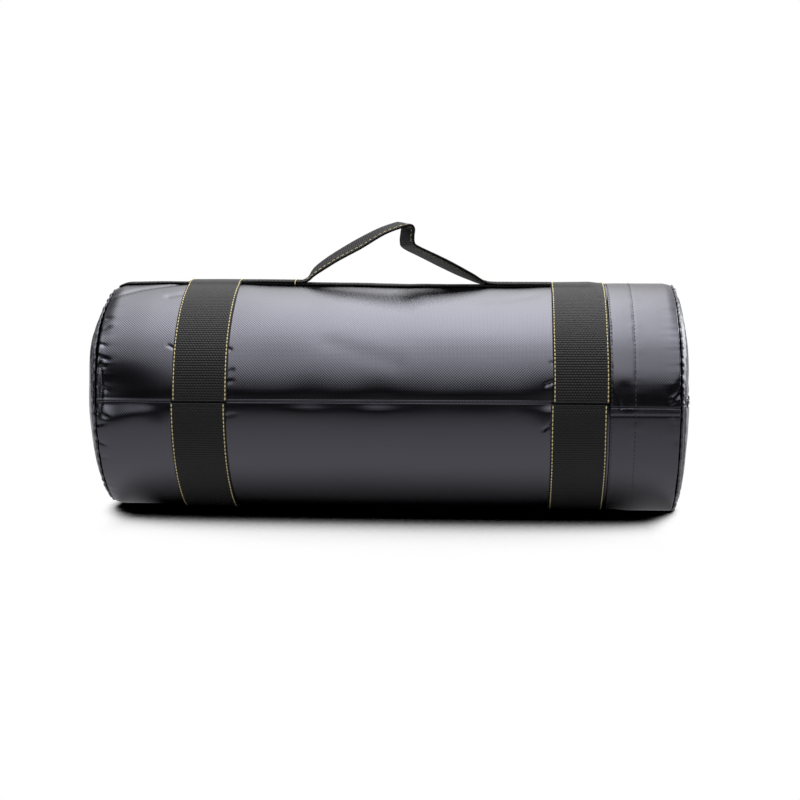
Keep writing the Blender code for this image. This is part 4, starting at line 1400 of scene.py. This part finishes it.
def painted_shadow_sky(zones, operation):
    """The AO's open sky, changed zone by zone along the bag to shape the painted shadow: more of it, so a
    lighter shadow, towards both ends of the bag.
    """
    sky = open_sky
    for sign, start, end, share in zones:
        sky = calc(operation, sky, ranged(product(along, sign), start, end, 0.0, share))
    return sky


def seen_or(tree, mirrored, seen):
    """One strength for the camera, and another for everything else that the light meets."""
    camera_ray = node(tree, "ShaderNodeLightPath")["Is Camera Ray"]
    inputs = {"Factor": camera_ray, 2: mirrored, 3: seen}
    return node(tree, "ShaderNodeMix", inputs, data_type="FLOAT")[0]


# Painted reflection and painted shadow: other rays see a glow that fades towards the front, and both
# strengths darken where the AO node finds the bag close by.
fade = node(tree, "ShaderNodeMapRange", {0: depth, 1: GLOW_FADE[0], 2: GLOW_FADE[1]})[0]
shadow = ranged(painted_shadow_sky(MIRRORED_SHADOW_ZONES, "MAXIMUM"), *MIRRORED_SHADOW)
white = ranged(painted_shadow_sky(SEEN_SHADOW_ZONES, "ADD"), *SEEN_SHADOW)
strength = seen_or(tree, product(fade, FLOOR_GLOW, shadow), white)
shine = node(tree, "ShaderNodeEmission", {"Strength": strength})[0]
node(tree, "ShaderNodeOutputMaterial", {"Surface": shine})
print("table from", FLOOR_FRONT, "to", FLOOR_BACK)

# %% [markdown]
# The light is painted on the world as a smooth function of direction, which gives soft reflections
# without noise. Going up from the front it starts with a clear edge, stays half bright, rises to
# its full strength overhead and fades towards the back, where there is a white backdrop.

# %% The light overhead
LOW_LIGHT = 2.5
HIGH_LIGHT = 2.5
FRONT_EDGE = (math.radians(18), math.radians(27))
RISE = (math.radians(47), math.radians(77))
FALL = (math.radians(90), math.radians(165))
LIGHT_SIDE = 0.28
LIGHT_MIDDLE = -0.01
BACKDROP = 0.5
ROOM = 0.014
END_LIGHTS = [(-1, 0.7), (1, 5.0)]
END_SIDE = (0.45, 0.75)
END_RISE = (-0.05, 0.25)
END_BACK = (-0.3, 0.1)

world = bpy.data.worlds.new("studio")
scene.world = world
world.use_nodes = True
tree = world.node_tree
side, back, up = split(node(tree, "ShaderNodeTexCoord")["Generated"])
height = calc("ARCTAN2", up, product(back, -1.0))
aside = calc("DIVIDE", calc("SUBTRACT", side, LIGHT_MIDDLE), LIGHT_SIDE)
aside = calc("EXPONENT", product(aside, aside, -1.0))
overhead = calc("MULTIPLY_ADD", ranged(height, *RISE), HIGH_LIGHT, LOW_LIGHT)
overhead = product(overhead, ranged(height, *FRONT_EDGE), ranged(height, *FALL, 1.0, 0.05), aside)
behind = product(ranged(back, 0.1, 0.4), ranged(side, -0.5, -0.3))
light = calc("ADD", calc("MULTIPLY_ADD", behind, BACKDROP, overhead), ROOM)
beyond = product(ranged(up, *END_RISE), ranged(back, *END_BACK))
for sign, strength in END_LIGHTS:
    end = ranged(product(side, sign), *END_SIDE, 0.0, strength)
    light = calc("MULTIPLY_ADD", end, beyond, light)
feed(tree.nodes["Background"], {"Strength": seen_or(tree, light, 1.0), "Color": (1, 1, 1, 1)})
scene.view_settings.view_transform = "Standard"
print("light peaks at", LOW_LIGHT + HIGH_LIGHT)
